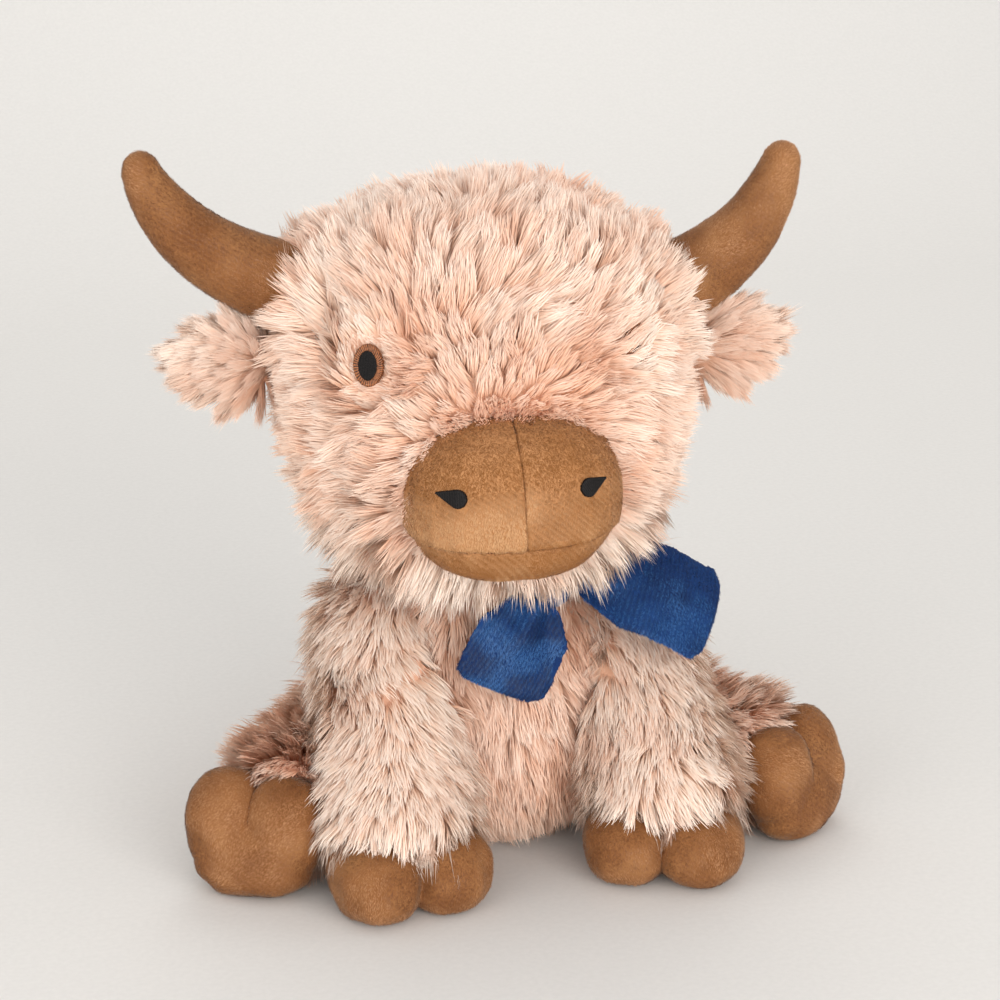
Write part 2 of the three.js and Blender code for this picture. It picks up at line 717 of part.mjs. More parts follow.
/** The scarf: the band and the knot on the neck, and two ends in frames at their roots. */
function addScarf(parent) {
  const frontEnd = (extra) => looseEnd(frontEndLine(), 0, extra);
  const sideEnd = (extra) => looseEnd(sideEndLine(), sideEndTiltAngle, extra);
  const knotHalf = new THREE.Vector3(knotHalfWidth, knotHalfDepth, knotHalfHeight);
  const tied = solid(puff(knotHalf, knotFullness, knot, 14, 10))
    .subtract(bandForm(seamGap))
    .subtract(bodyForm(seamGap))
    .subtract(frontEnd(2 * seamGap))
    .subtract(sideEnd(seamGap));
  piece('scarf_band', 'scarf', bandForm(0), parent);
  piece('scarf_knot', 'scarf', tied, parent);
  const ends = [['front', frontEnd, frontEndLine()], ['side', sideEnd, sideEndLine()]];
  for (const [name, form, line] of ends) {
    const pivot = line.getPointAt(0).addScaledVector(line.getTangentAt(0), scarfThickness / 2);
    piece(`scarf_end_${name}`, 'scarf', into(form(0), pivot), frameAt(pivot, parent));
  }
}

const group = new THREE.Group();
addBody(group);
const head = new THREE.Group();
head.position.copy(neckPivot);
head.rotation.set(0, -headLeanAngle * degree, headTurnAngle * degree);
group.add(head);
addHead(head);
addMuzzle(head);
addNostrils(head);
addEyes(head);
addHorns(head);
addEars(head);
addFrontLegs(group);
addHindLegs(group);
addTail(group);
addScarf(group);

const bounds = new THREE.Box3().setFromObject(group);
const middle = bounds.getCenter(new THREE.Vector3());
group.position.set(-middle.x, -middle.y, -bounds.min.z);

export default group;
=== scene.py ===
"""Looks of the sitting plush cow: long pile, velour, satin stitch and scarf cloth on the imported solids."""

import json
import logging
import math
from dataclasses import dataclass, field
from enum import Enum
from typing import Iterable, Sequence

import bmesh
import bpy
import numpy as np
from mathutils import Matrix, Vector
from mathutils.bvhtree import BVHTree
from mathutils.kdtree import KDTree


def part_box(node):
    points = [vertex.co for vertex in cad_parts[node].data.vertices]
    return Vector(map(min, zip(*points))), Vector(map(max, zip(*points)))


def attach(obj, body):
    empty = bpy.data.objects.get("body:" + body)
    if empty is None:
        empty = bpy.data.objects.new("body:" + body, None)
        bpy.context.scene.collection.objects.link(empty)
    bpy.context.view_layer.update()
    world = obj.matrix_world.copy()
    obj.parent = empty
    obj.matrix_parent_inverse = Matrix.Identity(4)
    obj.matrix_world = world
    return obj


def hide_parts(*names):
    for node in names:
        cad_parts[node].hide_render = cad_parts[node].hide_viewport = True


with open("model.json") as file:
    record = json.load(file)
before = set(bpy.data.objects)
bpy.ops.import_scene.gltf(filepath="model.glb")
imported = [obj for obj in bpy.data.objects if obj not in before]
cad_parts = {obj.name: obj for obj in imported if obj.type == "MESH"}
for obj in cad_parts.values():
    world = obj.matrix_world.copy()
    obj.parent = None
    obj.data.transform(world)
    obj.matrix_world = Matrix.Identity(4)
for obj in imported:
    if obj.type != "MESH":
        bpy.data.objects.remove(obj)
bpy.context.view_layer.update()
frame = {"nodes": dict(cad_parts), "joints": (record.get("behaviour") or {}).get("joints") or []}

log = logging.getLogger("plush_cow")

MM = 0.001
DOWN = np.array([0.0, 0.0, -1.0])

Points = np.ndarray
Direction = tuple[float, float, float]


class Side(Enum):
    """The cow's own left and right."""

    LEFT = "left"
    RIGHT = "right"

    @property
    def out(self) -> int:
        """Which way along X leads away from the middle."""
        return 1 if self is Side.LEFT else -1


# Small tools


def colour(code: str) -> tuple[float, float, float, float]:
    """Turns a web colour into a linear one.

    Args:
        code: The colour, as six digits after a "#".

    Returns:
        Its red, green and blue, and an alpha of 1.
    """
    parts = [int(code[i:i + 2], 16) / 255 for i in (1, 3, 5)]
    linear = [p / 12.92 if p <= 0.04045 else ((p + 0.055) / 1.055) ** 2.4 for p in parts]
    return (*linear, 1.0)


def unit(rows: Points) -> Points:
    """Each row at length one."""
    return rows / np.maximum(np.linalg.norm(rows, axis=1, keepdims=True), 1e-12)


def along_surface(rows: Points, normals: Points) -> Points:
    """Each row turned into its surface, at length one."""
    return unit(rows - (rows * normals).sum(1, keepdims=True) * normals)


def distances(places: Points, centre: Points) -> Points:
    """How far each place is from a point."""
    return np.linalg.norm(places - centre, axis=1)


@dataclass(frozen=True)
class Fade:
    """A smooth step from one value to another.

    Attributes:
        start: Where it starts.
        end: Where it ends.
        low: Its value up to the start.
        high: Its value from the end on.
    """

    start: float
    end: float
    low: float = 0
    high: float = 1

    def at(self, place: Points) -> Points:
        """Reads the step.

        Args:
            place: How far along it is read.

        Returns:
            Its value at each place.
        """
        t = np.clip((place - self.start) / (self.end - self.start), 0, 1)
        return self.low + (self.high - self.low) * (t * t * (3 - 2 * t))


def everywhere(direction: Direction, places: Points) -> Points:
    """The same direction at each place."""
    return np.tile(np.array(direction, float), (len(places), 1))


def corners(node: str) -> tuple[Points, Points]:
    """The lowest and the highest corner of a solid's box."""
    low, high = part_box(node)
    return np.array(low), np.array(high)


def middle(*nodes: str) -> Vector:
    """Finds the middle of the box round some solids.

    Args:
        nodes: The solids.

    Returns:
        The middle.
    """
    boxes = [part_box(node) for node in nodes]
    low = Vector([min(box[0][i] for box in boxes) for i in range(3)])
    high = Vector([max(box[1][i] for box in boxes) for i in range(3)])
    return (low + high) / 2


def pivot(body: str) -> Points:
    """The point that a body swings about."""
    return np.array(next(joint["pos_m"] for joint in frame["joints"] if joint["child"] == body))


@dataclass
class Clouds:
    """Smooth seeded noise in space.

    Attributes:
        seed: The same seed gives the same noise on every run.
        cell: The size of one blotch, in metres.
        cells: How many blotches lie side by side before the noise repeats.
        table: The values at the blotches' corners.
    """

    seed: int
    cell: float
    cells: int = 32
    table: Points = field(init=False)

    def __post_init__(self) -> None:
        """Fills the table that the noise reads."""
        self.table = np.random.default_rng(self.seed).random((self.cells,) * 3)

    def at(self, points: Points) -> Points:
        """Reads the noise.

        Args:
            points: The places to read it at.

        Returns:
            A value from 0 to 1 for each place.
        """
        place = points / self.cell
        base = np.floor(place).astype(int)
        share = place - base
        share = share * share * (3 - 2 * share)
        total = np.zeros(len(points))
        for corner in np.ndindex(2, 2, 2):
            weight = np.where(corner, share, 1 - share).prod(1)
            index = (base + np.array(corner)) % self.cells
            total += weight * self.table[index[:, 0], index[:, 1], index[:, 2]]
        return total

    def swing(self, points: Points) -> Points:
        """The noise about its middle, from -0.5 to 0.5."""
        return self.at(points) - 0.5


# Finishes

BAKE_MAP = "OFBake"
# Nearly all values of Blender's noise lie between these two
NOISE_LOW = 0.3
NOISE_HIGH = 0.7
# The Mix node's sockets for colours
MIX_FACTOR = 0
MIX_FIRST = 6
MIX_SECOND = 7
MIX_RESULT = 2


@dataclass
class Nodes:
    """A material being made, with short ways to add and join its shader nodes.

    Attributes:
        name: The material's name.
        material: The material.
        shader: Its Principled shader.
    """

    name: str
    material: bpy.types.Material = field(init=False)
    shader: bpy.types.Node = field(init=False)

    def __post_init__(self) -> None:
        """Makes the material with a Principled shader alone."""
        self.material = bpy.data.materials.new(self.name)
        self.material.use_nodes = True
        self.shader = self.material.node_tree.nodes["Principled BSDF"]

    def add(self, kind: str, **settings: object) -> bpy.types.Node:
        """Adds a node of a kind.

        Args:
            kind: The node's Blender type.
            settings: Inputs by name, with spaces written as underscores, or the node's own settings.

        Returns:
            The node.
        """
        node = self.material.node_tree.nodes.new(kind)
        for key, value in settings.items():
            socket = node.inputs.get(key.replace("_", " "))
            if socket is not None:
                socket.default_value = value
            else:
                setattr(node, key, value)
        return node

    def join(self, output: bpy.types.NodeSocket, socket: bpy.types.NodeSocket) -> None:
        """Links one socket to another."""
        self.material.node_tree.links.new(output, socket)

    def dye(self, output: bpy.types.NodeSocket) -> None:
        """Takes the surface's colour from a socket."""
        self.join(output, self.shader.inputs["Base Color"])

    def maths(self, operation: str, first: bpy.types.NodeSocket,
              second: bpy.types.NodeSocket | float | None = None) -> bpy.types.Node:
        """Adds a Math node.

        Args:
            operation: What it works out.
            first: The socket of its first value.
            second: The socket of its second value, or that value itself.

        Returns:
            The node.
        """
        node = self.add("ShaderNodeMath", operation=operation)
        self.join(first, node.inputs[0])
        if isinstance(second, float):
            node.inputs[1].default_value = second
        elif second is not None:
            self.join(second, node.inputs[1])
        return node

    def blotches(self, size: float, detail: float = 2.0,
                 stretch: Direction = (1, 1, 1)) -> bpy.types.NodeSocket:
        """Adds noise whose blotches are about `size` metres across.

        Args:
            size: The width of a blotch.
            detail: How much finer noise lies on it.
            stretch: How the noise is squeezed along each axis.

        Returns:
            The socket of the noise.
        """
        mapping = self.add("ShaderNodeMapping", Scale=tuple(stretch))
        self.join(self.add("ShaderNodeTexCoord").outputs["Object"], mapping.inputs["Vector"])
        noise = self.add("ShaderNodeTexNoise", Scale=1 / size, Detail=detail)
        self.join(mapping.outputs["Vector"], noise.inputs["Vector"])
        return noise.outputs["Fac"]

    def ramp(self, value: bpy.types.NodeSocket, colours: Sequence[str], low: float = NOISE_LOW,
             high: float = NOISE_HIGH) -> bpy.types.NodeSocket:
        """Picks evenly spaced colours along a value.

        Args:
            value: The socket that picks.
            colours: The web colours, from low to high.
            low: The value of the first colour.
            high: The value of the last one.

        Returns:
            The colour socket.
        """
        node = self.add("ShaderNodeValToRGB")
        elements = node.color_ramp.elements
        while len(elements) < len(colours):
            elements.new(0.5)
        for element, place, code in zip(elements, np.linspace(low, high, len(colours)), colours):
            element.position = place
            element.color = colour(code)
        self.join(value, node.inputs["Fac"])
        return node.outputs["Color"]

    def mix(self, factor: bpy.types.NodeSocket, first: bpy.types.NodeSocket,
            second: bpy.types.NodeSocket) -> bpy.types.NodeSocket:
        """Mixes two colours.

        Args:
            factor: The share of the second one.
            first: The first colour's socket.
            second: The second colour's socket.

        Returns:
            The mixed colour's socket.
        """
        node = self.add("ShaderNodeMix", data_type="RGBA")
        self.join(factor, node.inputs[MIX_FACTOR])
        self.join(first, node.inputs[MIX_FIRST])
        self.join(second, node.inputs[MIX_SECOND])
        return node.outputs[MIX_RESULT]

    def bump(self, height: bpy.types.NodeSocket, depth: float, strength: float) -> None:
        """Raises the surface.

        Args:
            height: The socket of the height, from 0 to 1.
            depth: How high 1 is, in metres.
            strength: How much of it shows, from 0 to 1.
        """
        node = self.add("ShaderNodeBump", Strength=strength, Distance=depth)
        self.join(height, node.inputs["Height"])
        self.join(node.outputs["Normal"], self.shader.inputs["Normal"])

    def settle(self, **values: object) -> bpy.types.Material:
        """Sets the shader's own sockets.

        Args:
            values: Values by the socket's name, with underscores for spaces.

        Returns:
            The material.
        """
        for key, value in values.items():
            self.shader.inputs[key.replace("_", " ")].default_value = value
        return self.material


@dataclass(frozen=True)
class StrandFinish:
    """Fibres coloured from root to tip: the bake map holds each strand's tone across and its length upwards.

    Attributes:
        name: The material's name.
        warm: Colours from root to tip of the warmest strands.
        pale: Colours from root to tip of the palest strands.
        gloss: Roughness of the fibres.
        sheen: How much light the fibres scatter at their edges.
        spread: How widely they scatter it.
        tint: The colour of that light.
        mirror: How much of the room the fibres mirror.
    """

    name: str
    warm: tuple[str, ...]
    pale: tuple[str, ...]
    gloss: float = 0.6
    sheen: float = 0.15
    spread: float = 0.4
    tint: str = "#FFE2CC"
    mirror: float = 0.25

    def material(self) -> bpy.types.Material:
        """Builds the finish.

        Returns:
            The material.
        """
        nodes = Nodes(self.name)
        split = nodes.add("ShaderNodeSeparateXYZ")
        nodes.join(nodes.add("ShaderNodeUVMap", uv_map=BAKE_MAP).outputs["UV"], split.inputs["Vector"])
        warm = nodes.ramp(split.outputs["Y"], self.warm, 0, 1)
        pale = nodes.ramp(split.outputs["Y"], self.pale, 0, 1)
        nodes.dye(nodes.mix(split.outputs["X"], warm, pale))
        return nodes.settle(Roughness=self.gloss, Sheen_Weight=self.sheen, Sheen_Roughness=self.spread,
                            Sheen_Tint=colour(self.tint), Specular_IOR_Level=self.mirror)


@dataclass(frozen=True)
class ClothFinish:
    """Short-pile cloth: brushed patches, a fine grain and a soft sheen.

    Attributes:
        name: The material's name.
        stops: Colours from where the pile is brushed flat to where it stands.
        patch: The width of a brushed patch, in metres.
        grain: The width of one tuft, in metres.
        sheen: How much light the pile scatters at its edges.
        tint: The colour of that light.
        spread: How widely it scatters it.
        speckle: How strongly the tufts differ in colour.
        relief: How high a tuft stands, in metres.
        relief_shown: How much of that shows.
        gloss: Roughness of the pile.
        mirror: How much of the room the pile mirrors.
    """

    name: str
    stops: tuple[str, ...]
    patch: float = 16 * MM
    grain: float = 0.7 * MM
    sheen: float = 0.35
    tint: str = "#FFE9C8"
    spread: float = 0.35
    speckle: float = 0.5
    relief: float = 0.4 * MM
    relief_shown: float = 0.5
    gloss: float = 0.85
    mirror: float = 0.2

    def material(self) -> bpy.types.Material:
        """Builds the finish.

        Returns:
            The material.
        """
        nodes = Nodes(self.name)
        brushed = nodes.blotches(self.patch, 3.0)
        tufts = nodes.blotches(self.grain, 1.0, (1, 1, 0.6))
        patches = nodes.ramp(brushed, self.stops)
        speckle = nodes.ramp(tufts, (self.stops[0], self.stops[-1]))
        share = nodes.maths("MULTIPLY", tufts, self.speckle)
        nodes.dye(nodes.mix(share.outputs[0], patches, speckle))
        nodes.bump(tufts, self.relief, self.relief_shown)
        return nodes.settle(Roughness=self.gloss, Sheen_Weight=self.sheen, Sheen_Roughness=self.spread,
                            Sheen_Tint=colour(self.tint), Specular_IOR_Level=self.mirror)


@dataclass(frozen=True)
class ThreadFinish:
    """Glossy embroidery thread, with painted shade between two threads, and slightly uneven in its dye.

    Attributes:
        name: The material's name.
        dark: Its colour between two threads, which paints the shade there.
        light: Its colour on top of a thread.
        threads: How many threads a form is sewn with.
        radial: Whether they run outwards from the form's middle, or else straight down.
        mirror: How much of the room the threads mirror.
        gloss: Roughness of the threads.
        uneven: The size of the dye's blotches, in metres.
        ridge: How much a thread's ridge counts beside those blotches.
        lightest: The height at which the light colour is reached.
        relief: How high a thread stands, in metres.
        relief_shown: How much of that shows.
    """

    name: str
    dark: str
    light: str
    threads: float
    radial: bool
    mirror: float = 0.4
    gloss: float = 0.45
    uneven: float = 0.7 * MM
    ridge: float = 0.2
    lightest: float = 0.66
    relief: float = 0.12 * MM
    relief_shown: float = 0.6

    def material(self) -> bpy.types.Material:
        """Builds the finish.

        Returns:
            The material.
        """
        nodes = Nodes(self.name)
        offset = nodes.add("ShaderNodeVectorMath", operation="SUBTRACT")
        nodes.join(nodes.add("ShaderNodeTexCoord").outputs["Generated"], offset.inputs[0])
        offset.inputs[1].default_value = (0.5, 0.5, 0.5)
        split = nodes.add("ShaderNodeSeparateXYZ")
        nodes.join(offset.outputs[0], split.inputs["Vector"])
        place, ridges = split.outputs["X"], 2 * math.pi * self.threads
        if self.radial:
            place = nodes.maths("ARCTAN2", split.outputs["X"], split.outputs["Z"]).outputs[0]
            ridges = float(self.threads)
        phase = nodes.maths("MULTIPLY", place, ridges)
        wave = nodes.maths("SINE", phase.outputs[0])
        height = nodes.maths("MULTIPLY_ADD", wave.outputs[0], self.ridge)
        nodes.join(nodes.blotches(self.uneven, 3.0), height.inputs[2])
        # Painted shade: the colour darkens between the threads.
        nodes.dye(nodes.ramp(height.outputs[0], (self.dark, self.light), NOISE_LOW, self.lightest))
        nodes.bump(height.outputs[0], self.relief, self.relief_shown)
        return nodes.settle(Roughness=self.gloss, Specular_IOR_Level=self.mirror)


@dataclass(frozen=True)
class PaperFinish:
    """The plain floor and backdrop.

    Attributes:
        name: The material's name.
        light: The paper's colour.
        dark: The colour of its fibres.
        fibre: The width of a blotch of fibres, in metres.
        gloss: The paper's roughness.
        mirror: How much of the room it mirrors.
    """

    name: str = "studio_paper"
    light: str = "#E2E0DD"
    dark: str = "#DEDCD9"
    fibre: float = 2 * MM
    gloss: float = 0.9
    mirror: float = 0.1

    def material(self) -> bpy.types.Material:
        """Builds the finish.

        Returns:
            The material.
        """
        nodes = Nodes(self.name)
        nodes.dye(nodes.ramp(nodes.blotches(self.fibre, 3.0), (self.dark, self.light)))
        return nodes.settle(Roughness=self.gloss, Specular_IOR_Level=self.mirror)


# The long pile darkens towards its roots and pales towards its tips: partly the fibres' own pinker roots,
# partly painted shade deep in the pile and a painted highlight on the tips.
FUR = StrandFinish(
    "long_pile",
    warm=("#E8A47C", "#EAAE8A", "#EFBB9B", "#F4C9AE"),
    pale=("#F6C9AA", "#FAD8BF", "#FFE8D6", "#FFF4EA"),
    gloss=0.38, sheen=0.1, mirror=0.32,
)
UNDERCOAT = ClothFinish(
    "pile_ground", ("#F2BE9E", "#F5C8AC", "#F8D2BA"), patch=12 * MM, grain=1.2 * MM, sheen=0.05,
    tint="#FFE2CC",
)
SNOUT_NAP = StrandFinish(
    "snout_nap",
    warm=("#8C5828", "#9E6734", "#AA703C"),
    pale=("#BC8A5C", "#D6A676", "#EABE92"),
    gloss=0.5, sheen=0.2,
)
SNOUT_VELOUR = ClothFinish("snout_velour", ("#A26E42", "#B07C50", "#BE8A5E"), sheen=0.2)
HIDE_NAP = StrandFinish(
    "hoof_and_horn_nap",
    warm=("#683C1E", "#7E4D2A", "#8C5834"),
    pale=("#A06E46", "#C28C60", "#DCAA7E"),
    gloss=0.5, sheen=0.4,
)
HIDE_VELOUR = ClothFinish("hoof_and_horn_velour", ("#764826", "#8C5C36", "#A07046"), sheen=0.2)
# The scarf nap's pale colours are brushed patches, partly painted sheen.
SCARF_NAP = StrandFinish(
    "scarf_nap",
    warm=("#071A3C", "#0C2450", "#113064"),
    pale=("#1A4682", "#3068A8", "#6896D0"),
    gloss=0.45, sheen=0.15, tint="#9CBCF0",
)
SCARF_VELOUR = ClothFinish(
    "scarf_velour", ("#0A1F48", "#113064", "#1A4078"), patch=14 * MM, grain=0.8 * MM, sheen=0.2,
    tint="#A8C4F0",
)
# Each thread's dark colour is painted shade in the grooves between its threads.
BROWN_THREAD = ThreadFinish("brown_thread", "#3A1D10", "#A8683E", threads=46, radial=True)
BLACK_THREAD = ThreadFinish("black_thread", "#040303", "#181414", threads=14, radial=False, mirror=0.2)


@dataclass
class Wardrobe:
    """The materials that the toy's pieces share, each named for its cloth or thread."""

    fur: bpy.types.Material = field(default_factory=FUR.material)
    undercoat: bpy.types.Material = field(default_factory=UNDERCOAT.material)
    snout: bpy.types.Material = field(default_factory=SNOUT_VELOUR.material)
    snout_nap: bpy.types.Material = field(default_factory=SNOUT_NAP.material)
    hide: bpy.types.Material = field(default_factory=HIDE_VELOUR.material)
    hide_nap: bpy.types.Material = field(default_factory=HIDE_NAP.material)
    scarf: bpy.types.Material = field(default_factory=SCARF_VELOUR.material)
    scarf_nap: bpy.types.Material = field(default_factory=SCARF_NAP.material)
    brown_thread: bpy.types.Material = field(default_factory=BROWN_THREAD.material)
    black_thread: bpy.types.Material = field(default_factory=BLACK_THREAD.material)


# Forms

WELD = 0.001 * MM
# How far one round of smoothing draws a point to its neighbours, as a share
SMOOTH_SHARE = 0.5
# The rounds that take the facets off a form and leave its folds
FOLD_ROUNDS = 3


def shown(name: str, mesh: bpy.types.Mesh, material: bpy.types.Material) -> bpy.types.Object:
    """Makes an object that shows a mesh in a material, smoothly shaded.

    Args:
        name: The object's name.
        mesh: Its mesh.
        material: Its material.

    Returns:
        The object.
    """
    thing = bpy.data.objects.new(name, mesh)
    bpy.context.scene.collection.objects.link(thing)
    mesh.shade_smooth()
    mesh.materials.clear()
    mesh.materials.append(material)
    return thing


def stand_in(thing: bpy.types.Object, body: str, slot: str, *nodes: str) -> None:
    """Lets a piece ride on a body and stand for the solids there.

    Args:
        thing: The piece.
        body: The body.
        slot: The record's name for its finish; not used.
        nodes: The solids.
    """
    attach(thing, body)
    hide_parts(*nodes)


def arrays(mesh: bpy.types.Mesh) -> tuple[Points, Points]:
    """Reads a mesh.

    Args:
        mesh: The mesh.

    Returns:
        Its points and its triangles.
    """
    points = np.empty(len(mesh.vertices) * 3)
    mesh.vertices.foreach_get("co", points)
    mesh.calc_loop_triangles()
    triangles = np.empty(len(mesh.loop_triangles) * 3, int)
    mesh.loop_triangles.foreach_get("vertices", triangles)
    return points.reshape(-1, 3), triangles.reshape(-1, 3)


def point_normals(mesh: bpy.types.Mesh) -> Points:
    """Finds the outward normals of a mesh.

    Args:
        mesh: The mesh.

    Returns:
        The normal at each of its points.
    """
    normals = np.empty(len(mesh.vertices) * 3)
    mesh.vertex_normals.foreach_get("vector", normals)
    return normals.reshape(-1, 3)


def doubled_areas(points: Points, triangles: Points) -> Points:
    """Twice the area of each triangle."""
    a, b, c = (points[triangles[:, i]] for i in range(3))
    return np.linalg.norm(np.cross(b - a, c - a), axis=1)


def surface(mesh: bpy.types.Mesh) -> float:
    """The area of a mesh, in square metres."""
    return float(doubled_areas(*arrays(mesh)).sum() / 2)


def shift_points(mesh: bpy.types.Mesh, offsets: Points) -> None:
    """Moves the points of a mesh.

    Args:
        mesh: The mesh.
        offsets: How far each of its points moves.
    """
    points, _ = arrays(mesh)
    mesh.vertices.foreach_set("co", (points + offsets).ravel())
    mesh.update()


def even_out(mesh: bpy.types.Mesh, rounds: int) -> None:
    """Draws each point of a mesh towards its neighbours.

    Args:
        mesh: The mesh.
        rounds: How many times.
    """
    form = bmesh.new()
    form.from_mesh(mesh)
    for _ in range(rounds):
        bmesh.ops.smooth_vert(form, verts=form.verts, factor=SMOOTH_SHARE, use_axis_x=True,
                              use_axis_y=True, use_axis_z=True)
    form.to_mesh(mesh)
    form.free()
    mesh.update()


def soft_form(name: str, node: str, voxel: float, rounds: int, hull: bool = False) -> bpy.types.Mesh:
    """Makes the form of a solid without its facets and sharp edges.

    Args:
        name: The new mesh's name.
        node: The solid that it follows.
        voxel: The size of its faces.
        rounds: How many times it is smoothed.
        hull: Whether it is closed over first, for hollow or dented covers.

    Returns:
        The closed mesh.
    """
    form = bmesh.new()
    form.from_mesh(frame["nodes"][node].data)
    if hull:
        swept = bmesh.ops.convex_hull(form, input=form.verts)
        inner = swept["geom_interior"] + swept["geom_unused"]
        spare = {part for part in inner if isinstance(part, bmesh.types.BMVert)}
        bmesh.ops.delete(form, geom=list(spare), context="VERTS")
    bmesh.ops.remove_doubles(form, verts=form.verts, dist=WELD)
    start = bpy.data.meshes.new(name)
    form.to_mesh(start)
    form.free()
    thing = bpy.data.objects.new(name, start)
    bpy.context.scene.collection.objects.link(thing)
    remesh = thing.modifiers.new("even", "REMESH")
    remesh.mode = "VOXEL"
    remesh.voxel_size = voxel
    smooth = thing.modifiers.new("soften", "SMOOTH")
    smooth.iterations = rounds
    smooth.factor = SMOOTH_SHARE
    depsgraph = bpy.context.evaluated_depsgraph_get()
    result = bpy.data.meshes.new_from_object(thing.evaluated_get(depsgraph))
    result.name = name
    bpy.data.objects.remove(thing)
    bpy.data.meshes.remove(start)
    return result


def sewn_form(name: str, node: str, voxel: float, rounds: int, crease: float) -> bpy.types.Mesh:
    """Makes a stuffed form with full curves that keeps its folds.

    Args:
        name: The new mesh's name.
        node: The solid that it follows.
        voxel: The size of its faces.
        rounds: How many times its bulges are smoothed.
        crease: How deep its folds stay, as a share of the solid's.

    Returns:
        The closed mesh.
    """
    sharp = soft_form(f"{name}_folds", node, voxel, FOLD_ROUNDS)
    full = soft_form(name, node, voxel, rounds)
    normals = point_normals(full)
    gap = ((arrays(sharp)[0] - arrays(full)[0]) * normals).sum(1, keepdims=True)
    shift_points(full, np.minimum(gap, 0) * crease * normals)
    bpy.data.meshes.remove(sharp)
    return full


@dataclass
class Solid:
    """A closed form that fibres keep out of and lie on.

    Attributes:
        tree: Its faces, for finding the nearest one.
        low: The lowest corner of its box.
        high: The highest corner of its box.
    """

    tree: BVHTree
    low: Points
    high: Points

    @classmethod
    def of_nodes(cls, *nodes: str) -> "Solid":
        """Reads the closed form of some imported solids.

        Args:
            nodes: The solids.

        Returns:
            Their form.
        """
        points, triangles, count = [], [], 0
        for node in nodes:
            own, faces = arrays(frame["nodes"][node].data)
            points.append(own)
            triangles.append(faces + count)
            count += len(own)
        rows = np.vstack(points)
        tree = BVHTree.FromPolygons(rows.tolist(), np.vstack(triangles).tolist())
        return cls(tree, rows.min(0), rows.max(0))

    def near(self, points: Points, reach: float) -> Points:
        """Which points lie within `reach` of the form's box."""
        return ((points > self.low - reach) & (points < self.high + reach)).all(1)

    def depth(self, points: Points, reach: float) -> Points:
        """Measures how far points are inside the form.

        Args:
            points: The points.
            reach: The distance from the form at which the search ends.

        Returns:
            Each point's depth, below 0 where it is outside.
        """
        result = np.full(len(points), -reach)
        for i in np.flatnonzero(self.near(points, reach)):
            place = Vector(points[i])
            on, normal, _, distance = self.tree.find_nearest(place)
            inside = (place - on).dot(normal) < 0
            result[i] = distance if inside else -min(distance, reach)
        return result

    def clear(self, points: Points, room: float) -> Points:
        """Moves points out of the form.

        Args:
            points: The points.
            room: How near to the form they may lie.

        Returns:
            The points, with those inside or nearer than `room` moved out to it.
        """
        result = points.copy()
        for i in np.flatnonzero(self.near(points, room)):
            place = Vector(points[i])
            on, normal, _, distance = self.tree.find_nearest(place)
            if (place - on).dot(normal) < 0 or distance < room:
                result[i] = on + normal * room
        return result


def drawn_in(mesh: bpy.types.Mesh, most: float, least: float, tight: Iterable[Solid], fade: Fade) -> None:
    """Draws a form in under its pile, and less where other pieces are sewn on.

    Args:
        mesh: The form.
        most: How far it is drawn in elsewhere.
        least: How far it is drawn in at a sewn piece.
        tight: The sewn pieces.
        fade: How it falls away with the distance from them.
    """
    points, _ = arrays(mesh)
    near = np.full(len(points), fade.end)
    for form in tight:
        near = np.minimum(near, np.abs(form.depth(points, fade.end)))
    inset = least + (most - least) * fade.at(near)
    shift_points(mesh, -point_normals(mesh) * inset[:, None])


# Pile

MOST_FACES = 190_000
# How far the brushing wanders in broad and narrow blotches and from lock to lock, as shares of its sway
BROAD_SWAY = 1.8
NARROW_SWAY = 0.9
LOCK_SWAY = 0.18
NARROWER = 3
# The steepest that a strand leaves the cloth and that its tip stands, in degrees
STEEPEST = 86
STEEPEST_TIP = 80
# The shortest and the longest lock, as shares of the pile's length
LOCK_LENGTHS = (0.8, 1.15)
# The longest strand, as a share of its lock's length
LONGEST = 1.06
# The least and the most that a strand is drawn to its lock, as shares of the cut's pull
PULLS = (0.6, 1.15)
# How sharply a strand turns towards its lock, and away from it, on the way up
PULL_BEND = 1.6
STRAY_BEND = 1.5
FLOOR_GAP = 0.4 * MM
TONES = (0.02, 0.98)
HEIGHTS = (0.01, 0.99)
# The furthest that a strand counts as being from its lock's middle, in half locks
TUFT_EDGE = 1.5
FEWEST_LOCKS = 8
# How much a strand's shading follows its own face, its upper side, the cloth below and its lock
OWN_FACE = 0.12
UPPER_SIDE = 0.38
CLOTH_BELOW = 0.5
WHOLE_LOCK = 0.3


